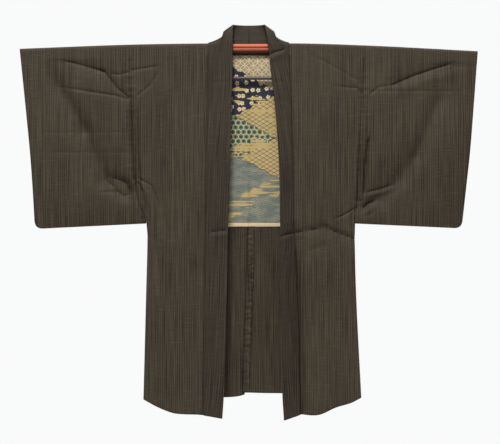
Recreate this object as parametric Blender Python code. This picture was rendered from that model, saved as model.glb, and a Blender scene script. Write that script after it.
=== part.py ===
"""A man's haori, the open jacket worn over a kimono, hanging on a two-ribbed hanger bar.

Metres, +Z up, +X to the viewer's right, the fronts facing -Y. The origin is the middle of the
hanger bar, where the hanger is held. Left and right are the wearer's, so the right side is at -X.

A place on the cloth is given by "out", the distance from the centre line, and "run", the distance
along the cloth from the shoulder ridge, less than nothing down the front and more than nothing down
the back. Heights are z values. Each piece is a thin wall that is worked out from those places.
"""

import math
from collections import namedtuple

import bmesh
import bpy
from mathutils import Vector

# Cloth
CLOTH = 0.0016
LINING_CLOTH = 0.0010
SEAM_GAP = 0.0003
BAND_FOLD_RADIUS = 0.0012
BAND_OVERLAP = 0.0065

# Hanger
BAR_RIB_RADIUS = 0.0062
BAR_HEIGHT = 0.0256
BAR_WEB_HALF_DEPTH = 0.0042
BAR_REACH = 0.612
BAR_MIDDLE_REACH = 0.112
RAIL_RADIUS = 0.0046
RAIL_HEIGHT_BELOW_ORIGIN = 0.0845
RAIL_HALF_WIDTH = 0.085
RAIL_BEND_RADIUS = 0.016

# The garment's depth, measured from the plane of the bar to the middle of the wall
RIDGE_RADIUS = BAR_RIB_RADIUS + SEAM_GAP + CLOTH / 2
QUARTER_TURN = RIDGE_RADIUS * math.pi / 2
BODY_HALF_DEPTH = 0.026
DEPTH_GROWTH_LENGTH = 0.25
FLAT_OUT = 0.14
SLEEVE_EDGE_RADIUS = 0.0036
SLEEVE_EDGE_LENGTH = 0.07

# Neck
NECK_OUT = 0.106
NECK_COLUMN_STEP = 0.0085
BAND_COLUMN_STEP = 0.014

# Heights, and distances below the ridge
SLEEVE_FOOT = -0.490
ARMHOLE_FOOT = -0.479
LINING_FOOT = -0.500
BAR_CLEAR_BELOW_RIDGE = 0.030
SLEEVE_CORNER_RADIUS = 0.022

# Height of the shoulder ridge's outer surface, by distance out from the centre
Ridge = namedtuple("Ridge", "out height")
RIDGE = {
    "right": [Ridge(0.000, 0.0130), Ridge(0.115, 0.0129), Ridge(0.330, 0.0095), Ridge(0.641, -0.0022)],
    "left": [Ridge(0.000, 0.0130), Ridge(0.109, 0.0132), Ridge(0.322, 0.0075), Ridge(0.639, -0.0086)],
}

# Collar band down the front: its folded edge at the opening, and its free edge on the front
Band = namedtuple("Band", "height fold_out fold_depth edge_out")
BAND = {
    "right": [
        Band(-1.0325, 0.0738, 0.0330, 0.1258),
        Band(-0.9755, 0.0699, 0.0335, 0.1249),
        Band(-0.7127, 0.0615, 0.0330, 0.1216),
        Band(-0.4444, 0.0570, 0.0300, 0.1179),
        Band(-0.2236, 0.0503, 0.0250, 0.1150),
        Band(-0.0894, 0.0461, 0.0205, 0.1146),
        Band(-0.0300, 0.0455, 0.0190, 0.1146),
    ],
    "left": [
        Band(-1.0370, 0.0964, 0.0370, 0.1411),
        Band(-0.9700, 0.0922, 0.0375, 0.1402),
        Band(-0.7127, 0.0866, 0.0370, 0.1365),
        Band(-0.5003, 0.0858, 0.0345, 0.1240),
        Band(-0.3102, 0.0822, 0.0300, 0.1200),
        Band(-0.1342, 0.0688, 0.0240, 0.1160),
        Band(-0.0447, 0.0573, 0.0200, 0.1120),
    ],
}

# Collar band round the neck, from the front of the shoulder to the centre back. The seam and the
# free edge lie on the body's cloth, at a turn in degrees over the bar and at a run along the cloth.
# The folded edge stands clear of it, and the cloth between sags by the last column.
NeckRing = namedtuple(
    "NeckRing", "seam_out seam_turn edge_out edge_run fold_out fold_depth fold_height sag"
)
NECK_RINGS = {
    "right": [
        NeckRing(0.1060, -90.0, 0.1146, -0.0115, 0.0450, -0.0195, 0.0180, 0.0010),
        NeckRing(0.1060, -60.0, 0.1140, -0.0076, 0.0447, -0.0175, 0.0400, 0.0040),
        NeckRing(0.1060, -30.0, 0.1130, -0.0038, 0.0445, -0.0135, 0.0520, 0.0070),
        NeckRing(0.1060, 0.0, 0.1115, 0.0010, 0.0440, -0.0070, 0.0600, 0.0085),
        NeckRing(0.1060, 30.0, 0.1100, 0.0070, 0.0425, 0.0000, 0.0636, 0.0060),
        NeckRing(0.1050, 58.0, 0.1060, 0.0150, 0.0390, 0.0070, 0.0650, 0.0020),
        NeckRing(0.0830, 60.0, 0.0850, 0.0176, 0.0310, 0.0130, 0.0654, 0.0000),
        NeckRing(0.0480, 60.0, 0.0490, 0.0176, 0.0175, 0.0170, 0.0654, 0.0000),
        NeckRing(0.0000, 60.0, 0.0000, 0.0176, 0.0000, 0.0185, 0.0654, 0.0000),
    ],
    "left": [
        NeckRing(0.1060, -90.0, 0.1115, -0.0115, 0.0510, -0.0200, 0.0160, 0.0010),
        NeckRing(0.1060, -60.0, 0.1120, -0.0076, 0.0480, -0.0180, 0.0380, 0.0040),
        NeckRing(0.1060, -30.0, 0.1120, -0.0038, 0.0455, -0.0135, 0.0510, 0.0070),
        NeckRing(0.1060, 0.0, 0.1115, 0.0010, 0.0435, -0.0070, 0.0597, 0.0085),
        NeckRing(0.1060, 30.0, 0.1100, 0.0070, 0.0420, 0.0000, 0.0635, 0.0060),
        NeckRing(0.1050, 58.0, 0.1060, 0.0150, 0.0385, 0.0070, 0.0650, 0.0020),
        NeckRing(0.0830, 60.0, 0.0850, 0.0176, 0.0310, 0.0130, 0.0654, 0.0000),
        NeckRing(0.0480, 60.0, 0.0490, 0.0176, 0.0175, 0.0170, 0.0654, 0.0000),
        NeckRing(0.0000, 60.0, 0.0000, 0.0176, 0.0000, 0.0185, 0.0654, 0.0000),
    ],
}

# Outer edge of the body: the armhole seam down to the sleeve's foot, then the gusset's seam
SideEdge = namedtuple("SideEdge", "height out")
SIDE_EDGE = {
    "right": [
        SideEdge(-1.0400, 0.2950), SideEdge(-0.9800, 0.2935), SideEdge(-0.6680, 0.2860),
        SideEdge(-0.5250, 0.2830), SideEdge(-0.5000, 0.2850), SideEdge(-0.4790, 0.2880),
        SideEdge(-0.4400, 0.3060), SideEdge(-0.3630, 0.3200), SideEdge(-0.2290, 0.3260),
        SideEdge(-0.1260, 0.3310), SideEdge(0.0130, 0.3330),
    ],
    "left": [
        SideEdge(-1.0400, 0.3155), SideEdge(-0.9740, 0.3122), SideEdge(-0.6680, 0.2977),
        SideEdge(-0.5250, 0.2950), SideEdge(-0.5000, 0.2955), SideEdge(-0.4790, 0.2965),
        SideEdge(-0.4360, 0.3010), SideEdge(-0.3580, 0.3061), SideEdge(-0.2290, 0.3165),
        SideEdge(-0.1260, 0.3190), SideEdge(0.0130, 0.3234),
    ],
}

# Half depth of the body at its outer edge
EdgeDepth = namedtuple("EdgeDepth", "height half_depth")
EDGE_DEPTH = [
    EdgeDepth(-1.040, 0.0240), EdgeDepth(-0.760, 0.0180), EdgeDepth(-0.490, 0.0110),
    EdgeDepth(-0.300, 0.0100), EdgeDepth(0.013, 0.0100),
]

# Hems, by distance out from the centre
Hem = namedtuple("Hem", "out height")
FRONT_HEM = {
    "right": [
        Hem(0.070, -1.0325), Hem(0.134, -1.0230), Hem(0.180, -1.0205), Hem(0.210, -1.0170),
        Hem(0.252, -1.0020), Hem(0.295, -0.9790),
    ],
    "left": [
        Hem(0.094, -1.0370), Hem(0.143, -1.0243), Hem(0.196, -1.0218), Hem(0.240, -1.0020),
        Hem(0.285, -0.9890), Hem(0.314, -0.9740),
    ],
}
BACK_HEM = {
    "right": [Hem(0.000, -0.9660), Hem(0.022, -0.9746), Hem(0.150, -0.9780), Hem(0.295, -0.9790)],
    "left": [Hem(0.000, -0.9660), Hem(0.093, -0.9690), Hem(0.200, -0.9700), Hem(0.314, -0.9740)],
}

# Sleeve outline: the cuff's two ends and the sharp corner that the rounded one is cut from
SleeveOutline = namedtuple("SleeveOutline", "cuff_top_out cuff_low_out cuff_low corner_out corner")
SLEEVE = {
    "right": SleeveOutline(0.6400, 0.6065, -0.3214, 0.5975, -0.5050),
    "left": SleeveOutline(0.6385, 0.6150, -0.3100, 0.5935, -0.5035),
}

# Half depth of a sleeve, by the share of the way from the armhole to the cuff
SleeveDepth = namedtuple("SleeveDepth", "share half_depth")
SLEEVE_DEPTH = [
    SleeveDepth(0.00, 0.0106), SleeveDepth(0.20, 0.0170), SleeveDepth(0.50, 0.0195),
    SleeveDepth(1.00, 0.0150),
]

# The largest folds: soft troughs (less than nothing) and ridges, each along a straight line
Fold = namedtuple("Fold", "side face out_a height_a out_b height_b half_width lift")
FOLDS = [
    Fold("right", "front", 0.556, -0.024, 0.430, -0.060, 0.020, -0.0025),
    Fold("right", "front", 0.430, -0.060, 0.340, -0.136, 0.022, -0.0030),
    Fold("right", "front", 0.545, -0.080, 0.461, -0.229, 0.026, -0.0035),
    Fold("right", "front", 0.461, -0.229, 0.400, -0.369, 0.026, -0.0050),
    Fold("right", "front", 0.400, -0.369, 0.335, -0.402, 0.024, -0.0045),
    Fold("right", "front", 0.312, -0.130, 0.300, -0.470, 0.018, 0.0035),
    Fold("right", "front", 0.150, -0.620, 0.146, -1.030, 0.022, -0.0040),
    Fold("right", "front", 0.215, -0.560, 0.205, -1.030, 0.034, 0.0045),
    Fold("left", "front", 0.625, -0.030, 0.400, -0.100, 0.020, -0.0030),
    Fold("left", "front", 0.531, -0.148, 0.416, -0.355, 0.028, -0.0050),
    Fold("left", "front", 0.328, -0.270, 0.310, -0.440, 0.018, -0.0035),
    Fold("left", "front", 0.212, -0.503, 0.290, -0.534, 0.022, -0.0050),
    Fold("left", "front", 0.100, -0.525, 0.196, -0.508, 0.022, -0.0035),
    Fold("left", "front", 0.140, -0.540, 0.149, -1.030, 0.017, -0.0070),
    Fold("left", "front", 0.222, -0.600, 0.232, -1.030, 0.032, 0.0050),
    Fold("right", "back", 0.560, -0.060, 0.420, -0.200, 0.026, -0.0030),
    Fold("right", "back", 0.420, -0.200, 0.345, -0.380, 0.026, -0.0045),
    Fold("right", "back", 0.160, -0.600, 0.175, -0.970, 0.034, -0.0050),
    Fold("right", "back", 0.080, -0.640, 0.070, -0.970, 0.028, 0.0040),
    Fold("left", "back", 0.600, -0.060, 0.430, -0.160, 0.024, -0.0030),
    Fold("left", "back", 0.520, -0.190, 0.400, -0.360, 0.028, -0.0050),
    Fold("left", "back", 0.185, -0.610, 0.200, -0.970, 0.034, -0.0055),
    Fold("left", "back", 0.100, -0.620, 0.092, -0.970, 0.028, 0.0040),
]
FOLD_FULL_BELOW_RIDGE = 0.080

# How finely each piece is divided
LOWER_ROWS = 9
UPPER_ROWS = 9
RIDGE_ROWS = 6
NECK_ROWS_OVER_RIDGE = 5
SHOULDER_COLUMNS = 10
BACK_NECK_COLUMNS = 4
SLEEVE_FOOT_RINGS = 11
SLEEVE_CORNER_RINGS = 3
SLEEVE_CUFF_RINGS = 3
SLEEVE_EDGE_STEPS = 3
TOP_SHARE_AT_CORNER = 0.84
BAND_INNER_STEPS = 3
BAND_FOLD_STEPS = 4
BAND_OUTER_STEPS = 3
GUSSET_ROWS = 10
BAR_MIDDLE_SECTIONS = 4
BAR_ARM_SECTIONS = 7
RAIL_SIDES = 12

SIGN = {"right": -1.0, "left": 1.0}

Finish = namedtuple("Finish", "color roughness metallic")
HAORI_CLOTH = Finish((0.052, 0.041, 0.029), 0.82, 0.0)
BAND_FINISH = Finish((0.047, 0.037, 0.026), 0.82, 0.0)
LINING_SILK = Finish((0.235, 0.240, 0.205), 0.55, 0.0)
ORANGE_LACQUER = Finish((0.520, 0.120, 0.055), 0.28, 0.0)
DARK_METAL = Finish((0.085, 0.080, 0.075), 0.38, 0.9)


def clear_scene():
    for thing in list(bpy.data.objects):
        bpy.data.objects.remove(thing, do_unlink=True)


def mix(a, b, share):
    return a + (b - a) * share


def ease(share):
    share = min(max(share, 0.0), 1.0)
    return share * share * (3.0 - 2.0 * share)


def read_table(rows, at, column=1):
    """Value of a column at a place in the first column, on straight lines between the rows."""
    ordered = sorted(rows, key=lambda row: row[0])
    if at <= ordered[0][0]:
        return ordered[0][column]
    for low, high in zip(ordered, ordered[1:]):
        if at <= high[0]:
            share = (at - low[0]) / (high[0] - low[0])
            return mix(low[column], high[column], share)
    return ordered[-1][column]


def ridge_height(side, out):
    """Height of the middle of the wall along the shoulder ridge."""
    return read_table(RIDGE[side], out) - CLOTH / 2


def fold_lift(side, face, out, height):
    below = ridge_height(side, out) - height
    shown = ease((below - BAR_CLEAR_BELOW_RIDGE) / (FOLD_FULL_BELOW_RIDGE - BAR_CLEAR_BELOW_RIDGE))
    total = 0.0
    for fold in FOLDS:
        if fold.side != side or fold.face != face:
            continue
        line_out = fold.out_b - fold.out_a
        line_height = fold.height_b - fold.height_a
        length_squared = line_out ** 2 + line_height ** 2
        share = ((out - fold.out_a) * line_out + (height - fold.height_a) * line_height) / length_squared
        share = min(max(share, 0.0), 1.0)
        gap_out = out - fold.out_a - share * line_out
        gap_height = height - fold.height_a - share * line_height
        away = (gap_out ** 2 + gap_height ** 2) / fold.half_width ** 2
        total += fold.lift * math.exp(-away)
    return total * shown


def hanging_depth(below, half_depth):
    """Half depth of the cloth at a distance below the ridge: round over the bar, then opening."""
    if below < RIDGE_RADIUS:
        return math.sqrt(max(RIDGE_RADIUS ** 2 - (RIDGE_RADIUS - below) ** 2, 0.0))
    grown = 1.0 - math.exp(-(below - RIDGE_RADIUS) / DEPTH_GROWTH_LENGTH)
    return mix(RIDGE_RADIUS, half_depth, grown)


def body_half_depth(side, out, height):
    edge = read_table(SIDE_EDGE[side], height)
    share = ease((out - FLAT_OUT) / (edge - FLAT_OUT))
    return mix(BODY_HALF_DEPTH, read_table(EDGE_DEPTH, height), share)


def run_from_height(side, out, height):
    """Distance along the cloth from the ridge, for a height below the round of the bar."""
    return ridge_height(side, out) - RIDGE_RADIUS - height + QUARTER_TURN


def body_point(side, out, run):
    """Middle of the body's wall at a place on the cloth."""
    ridge = ridge_height(side, out)
    along = abs(run)
    facing = 1.0 if run > 0.0 else -1.0
    if along < QUARTER_TURN:
        turn = along / RIDGE_RADIUS
        depth = RIDGE_RADIUS * math.sin(turn)
        height = ridge - RIDGE_RADIUS + RIDGE_RADIUS * math.cos(turn)
    else:
        height = ridge - RIDGE_RADIUS - (along - QUARTER_TURN)
        depth = hanging_depth(ridge - height, body_half_depth(side, out, height))
        depth += fold_lift(side, "back" if run > 0.0 else "front", out, height)
    return Vector((SIGN[side] * out, facing * depth, height))


def body_normal(side, out, run):
    """Outward direction of the body's wall."""
    step = 0.001
    along_run = body_point(side, out, run + step) - body_point(side, out, run - step)
    along_out = body_point(side, out + step, run) - body_point(side, out - step, run)
    return (along_run.cross(along_out) * -SIGN[side]).normalized()


def on_body(side, out, run, lift):
    return body_point(side, out, run) + body_normal(side, out, run) * lift


def finish_material(name, finish):
    material = bpy.data.materials.new(name)
    material.use_nodes = True
    shader = material.node_tree.nodes["Principled BSDF"]
    shader.inputs["Base Color"].default_value = (*finish.color, 1.0)
    shader.inputs["Roughness"].default_value = finish.roughness
    shader.inputs["Metallic"].default_value = finish.metallic
    return material


def add_object(name, bm, finish):
    mesh = bpy.data.meshes.new(name)
    bm.to_mesh(mesh)
    bm.free()
    mesh.shade_smooth()
    mesh.set_sharp_from_angle(angle=math.radians(40))
    piece = bpy.data.objects.new(name, mesh)
    piece.data.materials.append(finish_material(name, finish))
    bpy.context.scene.collection.objects.link(piece)
    return piece


def make_sheet(columns, rows, place, keep=None, joined=False):
    """A grid whose points are put at place(column, row); joined closes it into a tube."""
    bm = bmesh.new()
    bmesh.ops.create_grid(bm, x_segments=columns, y_segments=rows, size=0.5)
    corners = {}
    for vert in bm.verts:
        column = round((vert.co.x + 0.5) * columns)
        row = round((vert.co.y + 0.5) * rows)
        corners[vert] = (column, row)
    if keep:
        spare = []
        for face in bm.faces:
            column = min(corners[vert][0] for vert in face.verts)
            row = min(corners[vert][1] for vert in face.verts)
            if not keep(column, row):
                spare.append(face)
        bmesh.ops.delete(bm, geom=spare, context="FACES")
    for vert in bm.verts:
        vert.co = place(*corners[vert])
    if joined:
        bmesh.ops.remove_doubles(bm, verts=bm.verts, dist=1e-6)
    return bm


def add_cloth(name, bm, finish, thickness):
    """Gives a sheet its wall, half of it to each side."""
    piece = add_object(name, bm, finish)
    wall = piece.modifiers.new("Wall", "SOLIDIFY")
    wall.thickness = thickness
    wall.offset = 0.0
    wall.use_even_offset = True
    wall.use_rim = True
    return piece


# Rows of the body's cloth. A stretch runs between two levels, and share is the way up it.
Row = namedtuple("Row", "face stretch share")


def face_rows(face):
    """Rows of one face of the body, from its hem up to where the cloth meets the bar."""
    rows = [Row(face, "skirt", index / LOWER_ROWS) for index in range(LOWER_ROWS)]
    rows.append(Row(face, "waist", 0.0))
    rows += [Row(face, "chest", index / UPPER_ROWS) for index in range(UPPER_ROWS)]
    rows += [Row(face, "bar", 0.0), Row(face, "bar", 1.0)]
    return rows


def body_rows():
    """All rows of a body panel, from the front hem over the shoulder to the back hem."""
    over = [Row("ridge", "over", 2.0 * index / RIDGE_ROWS - 1.0) for index in range(1, RIDGE_ROWS)]
    return face_rows("front") + over + face_rows("back")[::-1]


BODY_ROWS = body_rows()
FACE_ROW_COUNT = len(face_rows("front"))
NECK_ROW = FACE_ROW_COUNT - 1 + NECK_ROWS_OVER_RIDGE


def row_height(side, row, out):
    """Height of a row of the front or back at a distance out from the centre."""
    ridge = ridge_height(side, out)
    hem = FRONT_HEM[side] if row.face == "front" else BACK_HEM[side]
    levels = {
        "skirt": (read_table(hem, out), LINING_FOOT),
        "waist": (LINING_FOOT, ARMHOLE_FOOT),
        "chest": (ARMHOLE_FOOT, ridge - BAR_CLEAR_BELOW_RIDGE),
        "bar": (ridge - BAR_CLEAR_BELOW_RIDGE, ridge - RIDGE_RADIUS),
    }
    low, high = levels[row.stretch]
    return mix(low, high, row.share)


def band_edge_out(side, height):
    return read_table(BAND[side], min(height, BAND[side][-1].height), 3)


def seam_out(side, height):
    """Where the front's inner edge is sewn to the band, under the band's free edge."""
    straight_from = BAND[side][-1].height
    neck_from = ridge_height(side, NECK_OUT) - BAR_CLEAR_BELOW_RIDGE
    hidden_edge = band_edge_out(side, height) - BAND_OVERLAP
    share = ease((height - straight_from + 0.06) / (neck_from - straight_from + 0.06))
    return mix(hidden_edge, NECK_OUT, share)


def body_place(side, column, row_index):
    """Place (out, run) of a point of the body's grid; column 0 is the inner edge of the front."""
    row = BODY_ROWS[row_index]
    if row.face == "ridge":
        height = ridge_height(side, NECK_OUT)
    else:
        height = row_height(side, row, NECK_OUT)
    if row.face == "front":
        seam = seam_out(side, height)
        edge = band_edge_out(side, height)
    else:
        seam = NECK_OUT
        edge = NECK_OUT + NECK_COLUMN_STEP
    if column < 0:
        inner = SEAM_GAP / 2
        out = mix(seam + SEAM_GAP / 2, inner, -column / BACK_NECK_COLUMNS)
    elif column < 3:
        out = (seam + SEAM_GAP / 2, edge, edge + BAND_COLUMN_STEP)[column]
    else:
        share = (column - 2) / (SHOULDER_COLUMNS - 2)
        if row.face != "ridge":
            height = row_height(side, row, mix(NECK_OUT, read_table(SIDE_EDGE[side], height), share))
        outer = read_table(SIDE_EDGE[side], height) - SEAM_GAP / 2
        out = mix(edge + BAND_COLUMN_STEP, outer, share)
    if row.face == "ridge":
        return out, row.share * QUARTER_TURN
    run = run_from_height(side, out, row_height(side, row, out))
    return out, -run if row.face == "front" else run


def make_body(side):
    """One length of cloth from the front hem over the shoulder to the back hem."""
    columns = SHOULDER_COLUMNS + BACK_NECK_COLUMNS

    def place(column, row):
        return body_point(side, *body_place(side, column - BACK_NECK_COLUMNS, row))

    def keep(column, row):
        return column >= BACK_NECK_COLUMNS or row >= NECK_ROW

    bm = make_sheet(columns, len(BODY_ROWS) - 1, place, keep)
    return add_cloth("body_" + side, bm, HAORI_CLOTH, CLOTH)


def sleeve_rings(side):
    """Share of the way to the cuff and lowest point (out, height) of each ring of a sleeve."""
    shape = SLEEVE[side]
    foot = Vector((read_table(SIDE_EDGE[side], ARMHOLE_FOOT), SLEEVE_FOOT))
    corner = Vector((shape.corner_out, shape.corner))
    cuff_low = Vector((shape.cuff_low_out, shape.cuff_low))
    to_foot = (foot - corner).normalized()
    to_cuff = (cuff_low - corner).normalized()
    tangent = SLEEVE_CORNER_RADIUS / math.tan(to_foot.angle(to_cuff) / 2)
    start = corner + to_foot * tangent
    end = corner + to_cuff * tangent
    lows = [foot.lerp(start, index / SLEEVE_FOOT_RINGS) for index in range(SLEEVE_FOOT_RINGS)]
    for index in range(SLEEVE_CORNER_RINGS):
        share = index / SLEEVE_CORNER_RINGS
        lows.append(start.lerp(corner, share).lerp(corner.lerp(end, share), share))
    lows += [end.lerp(cuff_low, index / SLEEVE_CUFF_RINGS) for index in range(SLEEVE_CUFF_RINGS + 1)]
    rings = []
    for index, low in enumerate(lows):
        if index <= SLEEVE_FOOT_RINGS:
            share = TOP_SHARE_AT_CORNER * index / SLEEVE_FOOT_RINGS
        else:
            past = (index - SLEEVE_FOOT_RINGS) / (len(lows) - 1 - SLEEVE_FOOT_RINGS)
            share = mix(TOP_SHARE_AT_CORNER, 1.0, past)
        rings.append((share, low))
    return rings


def make_sleeve(side):
    """One length folded over the bar, closed at its foot and below the cuff."""
    shape = SLEEVE[side]
    rings = sleeve_rings(side)
    ridge_steps = RIDGE_ROWS // 2
    face_steps = ridge_steps + 1 + UPPER_ROWS + SLEEVE_EDGE_STEPS
    around = 2 * face_steps

    def distance_below(step, length, edge_radius):
        """Distance below the ridge of a step down one face of a ring."""
        if step <= ridge_steps:
            return RIDGE_RADIUS * (1.0 - math.cos(step / ridge_steps * math.pi / 2))
        step -= ridge_steps + 1
        if step <= UPPER_ROWS:
            return mix(BAR_CLEAR_BELOW_RIDGE, length - edge_radius, step / UPPER_ROWS)
        turn = (step - UPPER_ROWS) / SLEEVE_EDGE_STEPS * math.pi / 2
        return length - edge_radius + edge_radius * math.sin(turn)

    def closing_depth(above, edge_radius, half_depth):
        """Half depth of the cloth at a distance above the sleeve's closed edge."""
        if above < edge_radius:
            return math.sqrt(max(edge_radius ** 2 - (edge_radius - above) ** 2, 0.0))
        grown = 1.0 - math.exp(-(above - edge_radius) / SLEEVE_EDGE_LENGTH)
        return mix(edge_radius, half_depth, grown)

    def place(column, row):
        share, low = rings[row]
        half_depth = read_table(SLEEVE_DEPTH, share)
        edge_radius = mix(half_depth, SLEEVE_EDGE_RADIUS, ease(row / 3.0))
        step = min(column, around - column)
        facing = -1.0 if column <= face_steps else 1.0
        top_out = mix(read_table(SIDE_EDGE[side], 0.0), shape.cuff_top_out, share)
        top = Vector((top_out, ridge_height(side, top_out)))
        length = (top - low).length
        below = distance_below(step, length, edge_radius)
        spot = top.lerp(low, below / length)
        if row == 0:
            spot.x = read_table(SIDE_EDGE[side], max(spot.y, ARMHOLE_FOOT)) + SEAM_GAP / 2
        above = max(length - below, 0.0)
        depth = hanging_depth(below, half_depth)
        depth *= closing_depth(above, edge_radius, half_depth) / half_depth
        face = "front" if facing < 0.0 else "back"
        shown = ease(above / FOLD_FULL_BELOW_RIDGE) if row else 1.0
        if above > edge_radius:
            depth += fold_lift(side, face, spot.x, spot.y) * shown
        return Vector((SIGN[side] * spot.x, facing * depth, spot.y))

    bm = make_sheet(around, len(rings) - 1, place, joined=True)
    return add_cloth("sleeve_" + side, bm, HAORI_CLOTH, CLOTH)


def band_fold_point(side, row):
    """Folded edge of the band beside a row of the front."""
    table = BAND[side]
    height = row_height(side, row, NECK_OUT)
    if row.stretch == "skirt":
        hem = read_table(FRONT_HEM[side], table[0].fold_out)
        height = mix(hem, LINING_FOOT, row.share)
    elif row.stretch == "bar":
        height = ridge_height(side, NECK_OUT) - BAR_CLEAR_BELOW_RIDGE
    return Vector((SIGN[side] * read_table(table, height, 1), -read_table(table, height, 2), height))


BandRing = namedtuple("BandRing", "seam edge fold wall_normal sag")


def band_rings(side):
    """Rings of the band from the front hem to the centre back."""
    rings = []
    lift = 2 * BAND_FOLD_RADIUS
    for index in range(FACE_ROW_COUNT - 1):
        out, run = body_place(side, 0, index)
        out -= SEAM_GAP / 2
        edge = on_body(side, *body_place(side, 1, index), lift)
        fold = band_fold_point(side, BODY_ROWS[index])
        rings.append(BandRing(body_point(side, out, run), edge, fold, body_normal(side, out, run), 0.0))
    for ring in NECK_RINGS[side]:
        run = RIDGE_RADIUS * math.radians(ring.seam_turn)
        seam = body_point(side, ring.seam_out, run)
        edge = on_body(side, ring.edge_out, ring.edge_run, lift)
        fold = Vector((SIGN[side] * ring.fold_out, ring.fold_depth, ring.fold_height))
        rings.append(BandRing(seam, edge, fold, body_normal(side, ring.seam_out, run), ring.sag))
    return rings


def make_band(side):
    """Collar band, folded outwards along its length, from the front hem to the centre back."""
    rings = band_rings(side)
    steps = BAND_INNER_STEPS + BAND_FOLD_STEPS + BAND_OUTER_STEPS
    last = len(rings) - 1
    lift = 2 * BAND_FOLD_RADIUS

    def frame(row):
        """Directions across the band and out of its face at a ring."""
        ahead = rings[min(row + 1, last)]
        behind = rings[max(row - 1, 0)]
        travel = (ahead.seam + ahead.fold) - (behind.seam + behind.fold)
        across = (rings[row].fold - rings[row].seam).normalized()
        outward = (across.cross(travel) * -SIGN[side]).normalized()
        return across, outward

    def place(column, row):
        ring = rings[row]
        across, outward = frame(row)
        slant = abs(across.dot(ring.wall_normal))
        set_back = SEAM_GAP / 2 + CLOTH / 2 * slant / math.sqrt(max(1.0 - slant ** 2, 0.2))
        set_back += SEAM_GAP * slant
        centre = ring.fold - across * (BAND_FOLD_RADIUS + CLOTH / 2) + outward * BAND_FOLD_RADIUS
        if column <= BAND_INNER_STEPS:
            share = column / BAND_INNER_STEPS
            inner_end = centre - outward * BAND_FOLD_RADIUS
            point = (ring.seam + across * set_back).lerp(inner_end, share)
            point -= outward * ring.sag * 4.0 * share * (1.0 - share)
        elif column <= BAND_INNER_STEPS + BAND_FOLD_STEPS:
            turn = (column - BAND_INNER_STEPS) / BAND_FOLD_STEPS * math.pi
            point = centre - outward * BAND_FOLD_RADIUS * math.cos(turn)
            point += across * BAND_FOLD_RADIUS * math.sin(turn)
        else:
            share = (column - BAND_INNER_STEPS - BAND_FOLD_STEPS) / BAND_OUTER_STEPS
            point = (centre + outward * BAND_FOLD_RADIUS).lerp(ring.edge, share)
            point += outward * (lift * slant - ring.sag) * 4.0 * share * (1.0 - share)
        if row == last:
            point.x = SIGN[side] * SEAM_GAP / 2
        return point

    bm = make_sheet(steps, last, place)
    return add_cloth("collar_" + side, bm, BAND_FINISH, CLOTH)


def make_gusset(side):
    """Narrow side piece between front and back, folded inwards, from the sleeve to the hem."""
    inset = 1.25 * CLOTH + SEAM_GAP
    top = SLEEVE_FOOT - 0.004
    edge_at_hem = read_table(SIDE_EDGE[side], -0.97)
    foot = read_table(BACK_HEM[side], edge_at_hem)

    def place(column, row):
        height = mix(foot, top, row / GUSSET_ROWS)
        out = read_table(SIDE_EDGE[side], height) - SEAM_GAP / 2 - CLOTH / 2
        run = run_from_height(side, out, height)
        front = body_point(side, out, -run).y + inset
        back = body_point(side, out, run).y - inset
        half_span = (back - front) / 2
        half_width = mix(0.0330, 0.0115, row / GUSSET_ROWS)
        half_width = max(half_width, half_span * 1.05)
        tuck = math.sqrt(half_width ** 2 - half_span ** 2)
        share = column / 4.0
        inward = tuck * math.sin(share * math.pi)
        return Vector((SIGN[side] * (out - inward), mix(front, back, share), height))

    bm = make_sheet(4, GUSSET_ROWS, place)
    return add_cloth("gusset_" + side, bm, HAORI_CLOTH, CLOTH)


def make_lining():
    """Printed lining of the back, from below the bar to its straight lower edge."""
    inset = CLOTH / 2 + SEAM_GAP + LINING_CLOTH / 2
    low_row = len(BODY_ROWS) - 1 - LOWER_ROWS
    high_row = len(BODY_ROWS) + 1 - FACE_ROW_COUNT
    half = BACK_NECK_COLUMNS + SHOULDER_COLUMNS
    edge_clear = 0.016

    def place(column, row):
        side = "right" if column < half else "left"
        body_column = abs(column - half) - BACK_NECK_COLUMNS
        out, run = body_place(side, body_column, low_row - row)
        if column == half:
            out = 0.0
        elif body_column == SHOULDER_COLUMNS:
            out -= edge_clear
        return on_body(side, out, run, -inset)

    bm = make_sheet(2 * half, low_row - high_row, place)
    return add_cloth("lining", bm, LINING_SILK, LINING_CLOTH)


def bar_profile():
    """Half outline of the two-ribbed bar, as (half depth, distance below its top) pairs."""
    radius = BAR_RIB_RADIUS
    diagonal = radius * math.sqrt(0.5)
    low_centre = BAR_HEIGHT - radius
    return [
        (0.0, 0.0),
        (diagonal, radius - diagonal),
        (radius, radius),
        (diagonal, radius + diagonal),
        (BAR_WEB_HALF_DEPTH, BAR_HEIGHT / 2),
        (diagonal, low_centre - diagonal),
        (radius, low_centre),
        (diagonal, low_centre + diagonal),
        (0.0, BAR_HEIGHT),
    ]


def close_ends(bm):
    bmesh.ops.holes_fill(bm, edges=[edge for edge in bm.edges if edge.is_boundary], sides=0)
    bmesh.ops.recalc_face_normals(bm, faces=bm.faces)


def make_bar(name, start, end, sections):
    """A length of the hanger bar, from one distance along it to another."""
    half = bar_profile()
    around = 2 * (len(half) - 1)

    def place(column, row):
        x = mix(start, end, row / sections)
        side = "right" if x < 0.0 else "left"
        top = ridge_height(side, abs(x)) - CLOTH / 2 - SEAM_GAP
        facing = -1.0 if column < len(half) else 1.0
        depth, below = half[column] if column < len(half) else half[around - column]
        return Vector((x, facing * depth, top - below))

    bm = make_sheet(around, sections, place, joined=True)
    close_ends(bm)
    return add_object(name, bm, ORANGE_LACQUER)


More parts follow.
